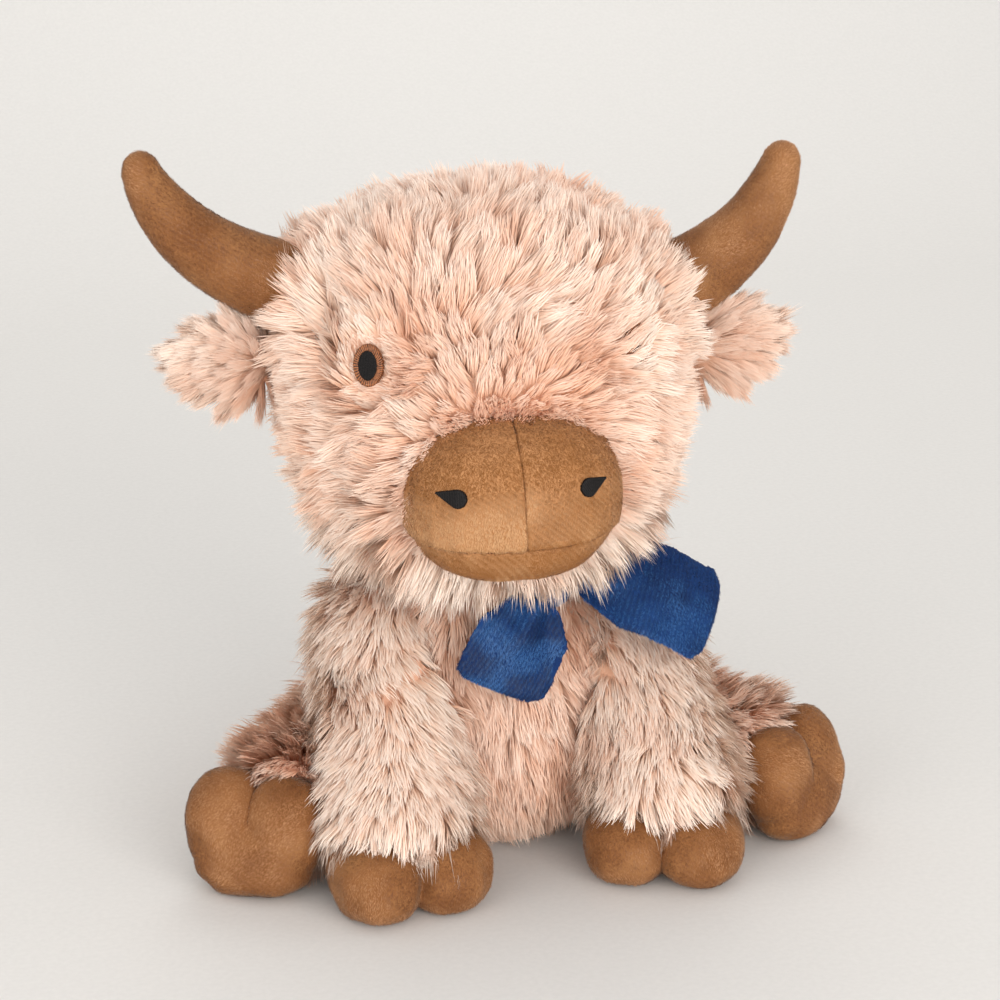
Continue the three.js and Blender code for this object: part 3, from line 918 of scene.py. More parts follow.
@dataclass(frozen=True)
class PileCut:
    """How a pile is made and brushed, in metres and degrees.

    Attributes:
        length: Length of a strand.
        width: Width of a strand at its root.
        lock: The distance between two locks.
        lift: How steeply strands leave the ground cloth.
        end_lift: How steeply their tips stand.
        droop: How much their weight bends the tips down, as a share.
        pull: How far a lock's tips draw together, as a share.
        shortest: The shortest strand, as a share of the length.
        sway: How far the brushing wanders.
        turn: Size of the blotches in which it wanders.
        uneven: How much one lock's lift differs from the next, as a share.
        stray: How far a tip strays from its lock, as a share of the length.
        roll: How far a strand is rolled round its own path, in radians.
        round_off: How strongly a lock is shaded as a rounded tuft.
        lock_mottle: How much one lock's tone differs from the next.
        mottle: How much one strand's tone differs from the next.
        steps: How far up a strand its cross lines are, from 0 to 1.
        taper: Its width at each cross line but the last, where it ends in a point.
    """

    length: float = 14 * MM
    width: float = 0.31 * MM
    lock: float = 3.3 * MM
    lift: float = 58
    end_lift: float = 28
    droop: float = 0.2
    pull: float = 0.34
    shortest: float = 0.5
    sway: float = 55
    turn: float = 17 * MM
    uneven: float = 0.28
    stray: float = 0.062
    roll: float = 0.4
    round_off: float = 0.35
    lock_mottle: float = 0.09
    mottle: float = 0.08
    steps: tuple[float, ...] = (0.0, 0.4, 0.8, 1.0)
    taper: tuple[float, ...] = (1.0, 1.0, 0.82)


SEAT_CUT = PileCut()
HEAD_CUT = PileCut(sway=66, turn=20 * MM, lock=4 * MM, pull=0.3)
EAR_CUT = PileCut(
    length=13.5 * MM, width=0.2 * MM, lift=37, end_lift=24, droop=0.3, lock=2.5 * MM, pull=0.42, sway=36,
    uneven=0.4, shortest=0.4,
)
FRONT_LEG_CUT = PileCut(lock=3.5 * MM, sway=46, uneven=0.22, pull=0.24, lift=54)
HIND_LEG_CUT = PileCut(length=16 * MM, lock=3.2 * MM, sway=50, uneven=0.2, pull=0.22, lift=66, end_lift=40)
TAIL_CUT = PileCut(length=8 * MM, lift=26, lock=2.6 * MM)
TUFT_CUT = PileCut(length=13 * MM, lift=26, lock=2.6 * MM)
NAP_CUT = PileCut(
    length=0.9 * MM, width=0.17 * MM, lock=1.6 * MM, lift=38, end_lift=26, droop=0, pull=0.1, sway=30,
    shortest=0.8, turn=10 * MM, uneven=0.2, round_off=0, lock_mottle=0, mottle=0.04, steps=(0.0, 1.0),
    taper=(1.0,),
)


@dataclass
class Skin:
    """The ground cloth that a pile is tufted into: a closed padded form.

    Attributes:
        name: The piece's name.
        mesh: Its mesh.
        body: The body that it rides on.
    """

    name: str
    mesh: bpy.types.Mesh
    body: str

    def spots(self, count: int, seed: int) -> tuple[Points, Points]:
        """Spreads places evenly over the cloth.

        Args:
            count: How many places.
            seed: Seed of their spread.

        Returns:
            The places and their normals.
        """
        rng = np.random.default_rng(seed)
        points, triangles = arrays(self.mesh)
        normals = point_normals(self.mesh)
        area = doubled_areas(points, triangles)
        pick = rng.choice(len(triangles), count, p=area / area.sum())
        u, v = rng.random((2, count))
        flip = u + v > 1
        u, v = np.where(flip, 1 - u, u), np.where(flip, 1 - v, v)
        weights = np.stack([1 - u - v, u, v], 1)[:, :, None]
        place = (points[triangles[pick]] * weights).sum(1)
        return place, unit((normals[triangles[pick]] * weights).sum(1))


def ground_cloth(name: str, mesh: bpy.types.Mesh, body: str, material: bpy.types.Material, fill: float,
                 *nodes: str) -> Skin:
    """Shows a padded form's ground cloth in place of its solids.

    Args:
        name: The piece's name.
        mesh: Its form.
        body: The body that it rides on.
        material: Its finish.
        fill: How tightly it is stuffed; not used.
        nodes: The solids that it stands for.

    Returns:
        The skin, for its pile.
    """
    thing = shown(name, mesh, material)
    stand_in(thing, body, "fur", *nodes)
    log.info("%s: ground cloth for %s", name, ", ".join(nodes))
    return Skin(name, mesh, body)


@dataclass(frozen=True)
class Ribbon:
    """The faces of one strand, the same for every strand of a pile.

    Attributes:
        loops: The corners that its faces go round.
        sizes: The corners of each face.
        rise: How far up the strand each corner is.
    """

    loops: list[int]
    sizes: list[int]
    rise: list[float]

    @classmethod
    def of_cut(cls, cut: PileCut) -> "Ribbon":
        """Works out the faces of a strand: a band of quads that ends in a triangle.

        Args:
            cut: How the strand is made.

        Returns:
            Its faces.
        """
        bands = len(cut.steps) - 2
        quads = [(2 * i, 2 * i + 1, 2 * i + 3, 2 * i + 2) for i in range(bands)]
        tip = 2 * (bands + 1)
        loops = [corner for quad in quads for corner in quad] + [tip - 2, tip - 1, tip]
        rise = [step for step in cut.steps[:-1] for _ in range(2)] + [1.0]
        return cls(loops, [4] * bands + [3], rise)


@dataclass(kw_only=True)
class Pile:
    """Strands tufted into one skin. A kind of pile says how it lies, and how long and pale it is.

    Attributes:
        skin: The ground cloth.
        cut: How the strands are made and brushed.
        dye: Their material.
        count: How many strands.
        seed: Seed of everything that is uneven in them.
        heading: The direction that they are brushed in, where it is the same all over.
        paleness: Their warmth, from 0 warm to 1 pale, where it is the same all over.
        slot: The record's name for their finish; not used.
        keep_out: Forms that strands lie on and don't enter.
    """

    skin: Skin
    cut: PileCut
    dye: bpy.types.Material
    count: int
    seed: int
    heading: Direction = (0, 0, -1)
    paleness: float = 0.5
    slot: str = "fur"
    keep_out: Sequence[Solid] = ()

    def lie(self, places: Points, normals: Points) -> Points:
        """The direction that strands are brushed in at each place."""
        return everywhere(self.heading, places)

    def length(self, places: Points) -> Points:
        """Each place's share of the full length; no strand grows where it is 0."""
        return np.ones(len(places))

    def lift(self, places: Points) -> Points:
        """Each place's share of the full lift."""
        return np.ones(len(places))

    def droop(self, places: Points) -> Points:
        """Each place's share of the full droop."""
        return np.ones(len(places))

    def tone(self, places: Points) -> Points:
        """Each place's warmth, from 0 warm to 1 pale."""
        return np.full(len(places), self.paleness)

    def locks(self) -> tuple[Points, Points]:
        """Brushes the middle strand of each lock.

        Returns:
            The locks' roots, and their paths at each step as offsets from the root.
        """
        cut = self.cut
        count = max(FEWEST_LOCKS, int(surface(self.skin.mesh) / cut.lock ** 2))
        roots, normals = self.skin.spots(count, self.seed)
        share = self.length(roots)
        roots, normals, share = roots[share > 0], normals[share > 0], share[share > 0]
        rng = np.random.default_rng(self.seed + 1)
        brushed = along_surface(self.lie(roots, normals), normals)
        broad = Clouds(self.seed + 2, cut.turn).swing(roots)
        narrow = Clouds(self.seed + 3, cut.turn / NARROWER).swing(roots)
        wander = BROAD_SWAY * broad + NARROW_SWAY * narrow + LOCK_SWAY * rng.standard_normal(len(roots))
        angle = np.radians(cut.sway) * wander[:, None]
        brushed = brushed * np.cos(angle) + np.cross(normals, brushed) * np.sin(angle)
        uneven = rng.uniform(1 - cut.uneven, 1 + cut.uneven, len(roots)) * self.lift(roots)
        rise = np.radians(np.minimum(cut.lift * uneven, STEEPEST))[:, None]
        end_rise = np.radians(np.minimum(cut.end_lift * uneven, STEEPEST_TIP))[:, None]
        start = brushed * np.cos(rise) + normals * np.sin(rise)
        weight = (cut.droop * self.droop(roots))[:, None]
        end = unit(brushed * np.cos(end_rise) + normals * np.sin(end_rise) + weight * DOWN)
        reach = (cut.length * share * rng.uniform(*LOCK_LENGTHS, len(roots)))[:, None, None]
        t = np.array(cut.steps)[None, :, None]
        paths = reach * ((t - t * t / 2) * start[:, None, :] + t * t / 2 * end[:, None, :])
        for form in self.keep_out:
            for step in range(1, len(cut.steps)):
                paths[:, step] = form.clear(roots + paths[:, step], 2 * cut.width) - roots
        return roots, paths

    def grow(self) -> None:
        """Makes the strands, in pieces small enough to bake and carry."""
        cut = self.cut
        lock_roots, paths = self.locks()
        tree = KDTree(len(lock_roots))
        for i, root in enumerate(lock_roots):
            tree.insert(root, i)
        tree.balance()
        roots, normals = self.skin.spots(self.count, self.seed + 4)
        share = self.length(roots)
        roots, normals = roots[share > 0], normals[share > 0]
        own = np.fromiter((tree.find(root)[1] for root in roots), int, len(roots))
        rng = np.random.default_rng(self.seed + 5)
        size = rng.uniform(cut.shortest, LONGEST, len(roots))[:, None]
        draw = (cut.pull * rng.uniform(*PULLS, len(roots)))[:, None]
        stray = rng.standard_normal((len(roots), 3)) * cut.stray
        to_lock = lock_roots[own] - roots
        reach = np.linalg.norm(paths[own, -1], axis=1)[:, None]
        rows = []
        for step, t in enumerate(cut.steps):
            bend = stray * reach * t ** STRAY_BEND
            rows.append(roots + size * paths[own, step] + to_lock * draw * t ** PULL_BEND + bend)
        rails = np.stack(rows, 1)
        rails[:, :, 2] = np.maximum(rails[:, :, 2], FLOOR_GAP)
        tone = self.tone(roots) + cut.mottle * rng.standard_normal(len(roots))
        tone = np.clip(tone + cut.lock_mottle * rng.standard_normal(len(lock_roots))[own], *TONES)
        roll = rng.normal(0, cut.roll, len(roots))
        tuft = np.clip(-to_lock / (cut.lock / 2), -TUFT_EDGE, TUFT_EDGE) * cut.round_off
        self.add_ribbons(rails, normals, tuft, tone, roll)

    def add_ribbons(self, rails: Points, normals: Points, tuft: Points, tone: Points, roll: Points) -> None:
        """Turns strand paths into tapered ribbons.

        Args:
            rails: Each strand's points, root to tip.
            normals: The cloth's normal at each root.
            tuft: How far each strand is from the middle of its lock, which rounds off its shading.
            tone: Each strand's tone.
            roll: How far each ribbon is rolled round its path, in radians.
        """
        cut = self.cut
        heading = unit(rails[:, -1] - rails[:, 0])
        flat = unit(np.cross(heading, normals) + 1e-9)
        up = unit(np.cross(flat, heading))
        turn = np.cos(roll)[:, None], np.sin(roll)[:, None]
        side = flat * turn[0] + up * turn[1]
        front = up * turn[0] - flat * turn[1]
        edges = []
        for step, taper in enumerate(cut.taper):
            half = side * cut.width * taper / 2
            edges += [rails[:, step] - half, rails[:, step] + half]
        edges.append(rails[:, -1])
        points = np.stack(edges, 1)
        shade = unit(OWN_FACE * front + UPPER_SIDE * up + CLOTH_BELOW * normals + WHOLE_LOCK * tuft)
        ribbon = Ribbon.of_cut(cut)
        most = MOST_FACES // len(ribbon.sizes)
        for part, first in enumerate(range(0, len(points), most)):
            chosen = slice(first, first + most)
            name = f"{self.skin.name}_pile_{part + 1}"
            self.add_strands(name, ribbon, points[chosen], shade[chosen], tone[chosen])

    def add_strands(self, name: str, ribbon: Ribbon, points: Points, shade: Points, tone: Points) -> None:
        """Makes one object of ribbons, which rides on the skin's body.

        Args:
            name: Its name.
            ribbon: The faces of each ribbon.
            points: Each ribbon's corners.
            shade: Each ribbon's shading normal.
            tone: Each ribbon's tone.
        """
        count, edges = points.shape[:2]
        mesh = bpy.data.meshes.new(name)
        mesh.vertices.add(count * edges)
        mesh.vertices.foreach_set("co", points.astype(np.float32).ravel())
        loops = (np.array(ribbon.loops)[None, :] + edges * np.arange(count)[:, None]).ravel()
        sizes = np.tile(ribbon.sizes, count)
        mesh.loops.add(len(loops))
        mesh.loops.foreach_set("vertex_index", loops.astype(np.int32))
        mesh.polygons.add(len(sizes))
        starts = np.concatenate([[0], np.cumsum(sizes)[:-1]])
        mesh.polygons.foreach_set("loop_start", starts.astype(np.int32))
        mesh.polygons.foreach_set("loop_total", sizes.astype(np.int32))
        layer = mesh.uv_layers.new(name=BAKE_MAP)
        spots = np.empty((count, len(ribbon.loops), 2), np.float32)
        spots[:, :, 0] = tone[:, None]
        spots[:, :, 1] = np.clip(np.array(ribbon.rise)[ribbon.loops], *HEIGHTS)[None, :]
        layer.data.foreach_set("uv", spots.ravel())
        mesh.update()
        mesh.polygons.foreach_set("use_smooth", np.ones(len(sizes), bool))
        mesh.normals_split_custom_set_from_vertices(np.repeat(shade, edges, 0).astype(np.float32))
        mesh.materials.append(self.dye)
        thing = bpy.data.objects.new(name, mesh)
        bpy.context.scene.collection.objects.link(thing)
        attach(thing, self.skin.body)


# Velour and embroidery


@dataclass(kw_only=True)
class VelourPiece:
    """A stuffed piece of short-pile cloth.

    Attributes:
        node: The solid that it stands for.
        body: The body that it rides on.
        cloth: The ground cloth's material.
        nap: The nap's material.
        seed: Seed of its nap.
        heading: The direction that its nap is brushed in.
        strands: How many fibres of nap.
        voxel: The size of its faces.
        rounds: How many times its edges are softened.
        crease: How deep its folds stay, as a share of the solid's.
        swell: How far its stuffing pushes it out.
        lumps: How high the lumps of its stuffing are.
        lump: How wide they are.
        at_floor: How both start with the height above the floor.
        evened: How many times the whole form is evened out at the end.
        fill: How tightly it is stuffed; not used.
        covered: Stitches that lie on it, which press its nap down.
        patchy: Half the range of noise over which the nap turns pale.
        patch: How wide those patches are.
        speck: How wide the smaller ones are.
    """

    node: str
    body: str
    cloth: bpy.types.Material
    nap: bpy.types.Material
    seed: int
    heading: Direction
    strands: int = 30_000
    voxel: float = 0.8 * MM
    rounds: int = 50
    crease: float = 1.0
    swell: float = 1.1 * MM
    lumps: float = 0.7 * MM
    lump: float = 9 * MM
    at_floor: Fade = Fade(0, 3 * MM)
    evened: int = 0
    fill: float = 0.85
    covered: Sequence[Solid] = ()
    patchy: float = 0.3
    patch: float = 15 * MM
    speck: float = 5 * MM

    def shade(self, places: Points) -> Points:
        """How much paler the nap is at each place, or below 0 darker."""
        return np.zeros(len(places))

    def slim(self, places: Points, normals: Points) -> Points:
        """How far each place is drawn in, in metres."""
        return np.zeros(len(places))

    def build(self) -> None:
        """Makes the piece and its nap."""
        name = f"{self.node}_velour"
        mesh = sewn_form(name, self.node, self.voxel, self.rounds, self.crease)
        points, _ = arrays(mesh)
        uneven = Clouds(self.seed, self.lump).swing(points)
        normals = point_normals(mesh)
        stuffed = self.at_floor.at(points[:, 2]) * (self.swell + self.lumps * uneven)
        out = stuffed - self.slim(points, normals)
        shift_points(mesh, normals * out[:, None])
        even_out(mesh, self.evened)
        thing = shown(name, mesh, self.cloth)
        stand_in(thing, self.body, "velour", self.node)
        turning = Fade(0.5 - self.patchy, 0.5 + self.patchy)
        VelourNap(skin=Skin(name, mesh, self.body), dye=self.nap, count=self.strands, seed=self.seed,
                  heading=self.heading, brushed=Clouds(self.seed + 7, self.patch),
                  fine=Clouds(self.seed + 8, self.speck), turning=turning, piece=self).grow()
        log.info("%s: velour with %d fibres", self.node, self.strands)


@dataclass(kw_only=True)
class RibbedNap(Pile):
    """Short nap, brushed into patches over the knit's ribs.

    Attributes:
        brushed: Noise of the brushed patches.
        fine: Noise of the smaller ones.
        specks: How much the smaller ones count, as a share.
        turning: The noise over which a patch turns from dark to pale.
        rib: The distance between two ribs.
        across: The direction across them.
        ribbed: How much a rib's tone differs from the groove beside it.
        darkest: The tone of the darkest patches.
        paler: How much paler the palest ones are.
    """

    cut: PileCut = NAP_CUT
    brushed: Clouds
    fine: Clouds
    specks: float
    turning: Fade
    rib: float
    across: Direction
    ribbed: float
    darkest: float = 0
    paler: float = 1

    def tone(self, places: Points) -> Points:
        """Patches and ribs.

        Args:
            places: Places on the cloth.

        Returns:
            Each place's tone, from 0 dark to 1 pale.
        """
        mixed = (1 - self.specks) * self.brushed.at(places) + self.specks * self.fine.at(places)
        ribs = np.cos(2 * math.pi * (places @ np.array(self.across)) / self.rib)
        return self.darkest + self.paler * self.turning.at(mixed) + self.ribbed * ribs


@dataclass(kw_only=True)
class VelourNap(RibbedNap):
    """The nap of a velour piece, which stitches press down.

    Attributes:
        piece: The velour piece.
        pressed: How near to a stitch the nap is pressed down.
        pressed_length: How long it is there, as a share.
    """

    slot: str = "velour"
    specks: float = 0.25
    rib: float = 1.6 * MM
    across: Direction = (0.6, 0.3, 0.74)
    ribbed: float = 0.16
    piece: VelourPiece
    pressed: float = 0.5 * MM
    pressed_length: float = 0.4

    def length(self, places: Points) -> Points:
        """Shortens the nap under and beside stitches.

        Args:
            places: Places on the cloth.

        Returns:
            Each place's share of the full length.
        """
        close = np.zeros(len(places), bool)
        for form in self.piece.covered:
            close |= np.abs(form.depth(places, 4 * self.pressed)) < self.pressed
        return np.where(close, self.pressed_length, 1.0)

    def tone(self, places: Points) -> Points:
        """Patches and ribs, with the piece's own shades."""
        return super().tone(places) + self.piece.shade(places)


@dataclass
class SatinStitch:
    """Parallel or radial threads over a small embroidered form.

    Attributes:
        node: The solid that it stands for.
        body: The body that it rides on.
        material: Its thread.
        slot: The record's name for that thread.
        radial: Whether the threads run outwards from the middle.
        proud: How far it stands above the solid.
        sunk: How far it is pressed into the cloth below.
        thread: The distance between two threads.
        relief: How high a thread stands above its seam with the next.
        slant: How far parallel threads lean.
        voxel: The size of its faces.
    """

    node: str
    body: str
    material: bpy.types.Material
    slot: str
    radial: bool = False
    proud: float = 0.25 * MM
    sunk: float = 0.2 * MM
    thread: float = 0.62 * MM
    relief: float = 0.2 * MM
    slant: float = 0.25
    voxel: float = 0.17 * MM

    def build(self) -> None:
        """Makes the embroidered piece."""
        name = f"{self.node}_stitch"
        mesh = soft_form(name, self.node, self.voxel, FOLD_ROUNDS)
        points, _ = arrays(mesh)
        centre = points.mean(0)
        spread = np.linalg.svd(points - centre, full_matrices=False)[2]
        flat = (points - centre) @ spread[:2].T
        if self.radial:
            half_turns = round(math.pi * np.abs(flat).max() / self.thread)
            turns = np.arctan2(flat[:, 0], flat[:, 1]) * half_turns
        else:
            turns = math.pi * (flat[:, 0] + self.slant * flat[:, 1]) / self.thread
        ridge = np.abs(np.sin(turns)) - 0.5
        outward = spread[2] * np.sign(spread[2] @ (centre - np.array(middle("head_cover"))))
        shift = point_normals(mesh) * (self.proud + self.relief * ridge)[:, None]
        shift_points(mesh, shift - self.sunk * outward)
        stand_in(shown(name, mesh, self.material), self.body, self.slot, self.node)
        log.info("%s: satin stitch", self.node)


# Head


@dataclass(kw_only=True)
class Horn(VelourPiece):
    """A curved horn, which narrows to a rounded point.

    Attributes:
        slimmest: How far its tip is drawn in.
        tip_heading: The direction that its tip points in, which stays full.
        narrowing: How it narrows with the share of its height.
        paler: How much paler than the hooves it is.
    """

    slimmest: float = 3.2 * MM
    tip_heading: Direction
    narrowing: Fade = Fade(0.3, 1)
    paler: float = 0.12

    def shade(self, places: Points) -> Points:
        """The same paler tone all over."""
        return np.full(len(places), self.paler)

    def slim(self, places: Points, normals: Points) -> Points:
        """Narrows the horn towards its tip.

        Args:
            places: Points of its form.
            normals: Their normals.

        Returns:
            How far each is drawn in.
        """
        low, high = corners(self.node)
        level = (places[:, 2] - low[2]) / (high[2] - low[2])
        sideways = 1 - (normals @ np.array(self.tip_heading)) ** 2
        return self.slimmest * self.narrowing.at(level) * sideways


@dataclass(kw_only=True)
class SnoutPanel(VelourPiece):
    """One of the snout's three panels, dark above the nostrils in a brushed patch that is partly painted
    shade, and with painted shade at the lip.

    Attributes:
        paler: How much paler the middle of the snout is.
        darker: How much darker its top is than its middle, partly as painted shade.
        lip_painted_shade: How much painted shade darkens the lip.
        top_fade: How the top darkens with the share of the snout's height.
        lip_edge: How far each side of the mouth the lip's shade fades.
        ragged: How far the edge of the dark top wanders, as a share of the height.
        ragged_seed: Seed of that.
    """

    paler: float = 0.25
    darker: float = 1.1
    lip_painted_shade: float = 0.8
    top_fade: Fade = Fade(0.58, 0.85)
    lip_edge: float = 2 * MM
    ragged: float = 0.3
    ragged_seed: int = 57

    def shade(self, places: Points) -> Points:
        """Darkens the snout's top, partly as painted shade, and paints shade on the lip.

        Args:
            places: Places on the cloth.

        Returns:
            How much paler each is, or below 0 darker.
        """
        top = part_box("muzzle_panel_left")[1][2]
        bottom, mouth = (corner[2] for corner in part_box("lip_panel"))
        height = top - bottom
        edge = Clouds(self.ragged_seed, self.ragged * height).swing(places)
        level = (places[:, 2] - bottom) / height + self.ragged * edge
        lip = 1 - Fade(mouth - self.lip_edge, mouth + self.lip_edge).at(places[:, 2])
        # Painted shade darkens the lip below the mouth; the dark top is a brushed patch that is partly
        # painted shade.
        return self.paler - self.darker * self.top_fade.at(level) - self.lip_painted_shade * lip


@dataclass(kw_only=True)
class EarPile(Pile):
    """An ear's pile, which fans out from its root and pales towards its tips.

    Attributes:
        out: Which way along X the ear stands.
        root: Where it is sewn on.
        outward: How strongly its pile is brushed outwards.
        root_tone: Its least tone.
        mottled: How much paler the palest patches are.
        paling: How much paler it gets in one metre.
        patches: Where it is paler or warmer.
    """

    out: int
    root: Points
    outward: float = 0.35
    root_tone: float = 0.1
    mottled: float = 0.4
    paling: float = 22
    patches: Clouds = field(init=False)

    def __post_init__(self) -> None:
        """Seeds the patches."""
        self.patches = Clouds(self.seed + 1, 10 * MM)

    def lie(self, places: Points, normals: Points) -> Points:
        """Away from the root, and outwards."""
        return unit(places - self.root) + np.array((self.outward * self.out, 0, 0))

    def tone(self, places: Points) -> Points:
        """Warm at the root and pale at the tips."""
        mottle = self.mottled * self.patches.at(places)
        return self.root_tone + mottle + self.paling * distances(places, self.root)


@dataclass(kw_only=True)
class HeadPile(Pile):
    """The head's pile, which parts from a whorl above the snout and opens round the eye that shows.

    Attributes:
        snout: The snout's panels.
        horns: Both horns.
        clear_eye: The right eye, which shows.
        buried_eye: The left eye, which the pile almost hides.
        whorl_in: How far the whorl's middle lies behind the head's front.
        whorl_down: How far it lies below the snout's top.
        slide: How far the brushing's middle moves down beside the snout, as a share of its height.
        slide_over: The share of that height over which it does so.
        back_from: How far behind the head's middle its pile starts to turn straight down.
        chin_down: How much the chin's pile is brushed down beside outwards.
        chin_height: How the chin ends with the height above the head's lowest point.
        chin_depth: How it ends with the distance behind the head's middle.
        neck: How the pile starts with the height above the head's lowest point.
        neck_least: The share of that from which strands grow.
        sewn_reach: How far from a sewn piece bare cloth is looked for.
        eye_reach: How far from an eye its opening is measured.
        eye_room: How far round an eye the cloth is bare.
        whorl_length: The pile's length with the distance from the whorl.
        clear_length: Its length with the distance from the eye that shows.
        buried_length: Its length with the distance from the eye that is buried.
        chin_longer: How much longer the chin's pile is, as a share.
        top_lift: How much more the pile stands up with the height below the head's top.
        whorl_lift: How much more with the distance from the whorl.
        clear_lift: How much less with the distance from the eye that shows.
        buried_lift: How much less with the distance from the eye that is buried.
        chin_lift: How much more at the chin.
        chin_droop: How much more the chin's pile hangs.
        whorl_tone: The pile's tone with the distance from the whorl.
        chin_tone: How much paler the chin is.
        mottled: How much the patches differ in tone.
        mottle_middle: The noise at which a patch is neither paler nor warmer.
        blotchy: How much the blotches differ in tone.
        low: The lowest corner of the head's box.
        high: Its highest corner.
        centre: Its middle.
        bridge: The middle of the whorl.
        snout_height: From the whorl down to the lip.
        patches: Where the pile is paler or warmer.
        blotches: Smaller such places.
    """

    snout: Solid
    horns: Solid
    clear_eye: Solid
    buried_eye: Solid
    whorl_in: float = 4 * MM
    whorl_down: float = 9 * MM
    slide: float = 0.5
    slide_over: float = 0.7
    back_from: float = 5 * MM
    chin_down: float = 0.6
    chin_height: Fade = Fade(6 * MM, 30 * MM, 1, 0)
    chin_depth: Fade = Fade(-10 * MM, 30 * MM, 1, 0)
    neck: Fade = Fade(-3 * MM, 3 * MM)
    neck_least: float = 0.3
    sewn_reach: float = 2 * MM
    eye_reach: float = 20 * MM
    eye_room: float = 0.6 * MM
    whorl_length: Fade = Fade(10 * MM, 34 * MM, 0.5, 1)
    clear_length: Fade = Fade(1.5 * MM, 14 * MM, 0.2, 1)
    buried_length: Fade = Fade(1 * MM, 11 * MM, 0.68, 1)
    chin_longer: float = 0.4
    top_lift: Fade = Fade(-26 * MM, -4 * MM, 0, 0.2)
    whorl_lift: Fade = Fade(8 * MM, 30 * MM, 0.3, 0)
    clear_lift: Fade = Fade(6 * MM, 16 * MM, -0.45, 0)
    buried_lift: Fade = Fade(4 * MM, 14 * MM, -0.3, 0)
    chin_lift: float = 0.4
    chin_droop: float = 5
    whorl_tone: Fade = Fade(10 * MM, 42 * MM, 0, 0.48)
    chin_tone: float = 0.4
    mottled: float = 0.7
    mottle_middle: float = 0.42
    blotchy: float = 0.5
    low: Points = field(init=False)
    high: Points = field(init=False)
    centre: Points = field(init=False)
    bridge: Points = field(init=False)
    snout_height: float = field(init=False)
    patches: Clouds = field(init=False)
    blotches: Clouds = field(init=False)

    def __post_init__(self) -> None:
        """Takes the head's measures from the frame and seeds the patches."""
        self.low, self.high = corners("head_cover")
        self.centre = (self.low + self.high) / 2
        self.bridge = np.array(middle("muzzle_panel_left", "muzzle_panel_right"))
        self.bridge[1] = self.low[1] + self.whorl_in
        self.bridge[2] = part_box("muzzle_panel_left")[1][2] - self.whorl_down
        self.snout_height = self.bridge[2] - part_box("lip_panel")[0][2]
        self.patches = Clouds(self.seed + 1, 18 * MM)
        self.blotches = Clouds(self.seed + 2, 7 * MM)

    def chin(self, places: Points) -> Points:
        """How much each place belongs to the chin, from 0 to 1."""
        behind = self.chin_depth.at(places[:, 1] - self.centre[1])
        return self.chin_height.at(places[:, 2] - self.low[2]) * behind

    def lie(self, places: Points, normals: Points) -> Points:
        """Brushes the pile away from the whorl, down at the back and outwards under the chin.

        Args:
            places: Places on the cloth.
            normals: Their normals.

        Returns:
            Each place's direction.
        """
        below = Fade(0, self.slide_over * self.snout_height).at(self.bridge[2] - places[:, 2])
        start = np.tile(self.bridge, (len(places), 1))
        start[:, 2] -= self.slide * self.snout_height * below
        radial = unit(places - start)
        back = Fade(self.centre[1] + self.back_from, self.high[1]).at(places[:, 1])[:, None]
        outward = unit((places - self.centre) * (1, 1, 0)) + self.chin_down * DOWN
        under = self.chin(places)[:, None]
        return (1 - under) * ((1 - back) * radial + back * DOWN) + under * outward

    def length(self, places: Points) -> Points:
        """Shortens the pile at the whorl and round the eyes, and clears it under other pieces.

        Args:
            places: Places on the cloth.

        Returns:
            Each place's share of the full length.
        """
        neck = self.neck.at(places[:, 2] - self.low[2])
        share = self.whorl_length.at(distances(places, self.bridge))
        share *= self.clear_length.at(-self.clear_eye.depth(places, self.eye_reach))
        share *= self.buried_length.at(-self.buried_eye.depth(places, self.eye_reach))
        share *= 1 + self.chin_longer * self.chin(places)
        eyes = (self.clear_eye, self.buried_eye)
        covered = [form.depth(places, self.sewn_reach) for form in (self.horns, self.snout)]
        covered += [form.depth(places, self.sewn_reach) + self.eye_room for form in eyes]
        return np.where((np.max(covered, 0) > 0) | (neck < self.neck_least), 0, share)

    def lift(self, places: Points) -> Points:
        """Raises the pile on top, at the whorl and under the chin, and lays it flat at the eyes.

        Args:
            places: Places on the cloth.

        Returns:
            Each place's share of the full lift.
        """
        share = 1 + self.top_lift.at(places[:, 2] - self.high[2])
        share += self.whorl_lift.at(distances(places, self.bridge))
        share += self.clear_lift.at(-self.clear_eye.depth(places, self.eye_reach))
        share += self.buried_lift.at(-self.buried_eye.depth(places, self.eye_reach))
        return share + self.chin_lift * self.chin(places)

    def droop(self, places: Points) -> Points:
        """The chin's pile hangs."""
        return 1 + self.chin_droop * self.chin(places)

    def tone(self, places: Points) -> Points:
        """Warm at the whorl, pale at the chin, and in patches between.

        Args:
            places: Places on the cloth.

        Returns:
            Each place's warmth, from 0 warm to 1 pale.
        """
        wave = self.mottled * (self.patches.at(places) - self.mottle_middle)
        wave += self.blotchy * self.blotches.swing(places)
        whorl = self.whorl_tone.at(distances(places, self.bridge))
        return whorl + wave + self.chin_tone * self.chin(places)


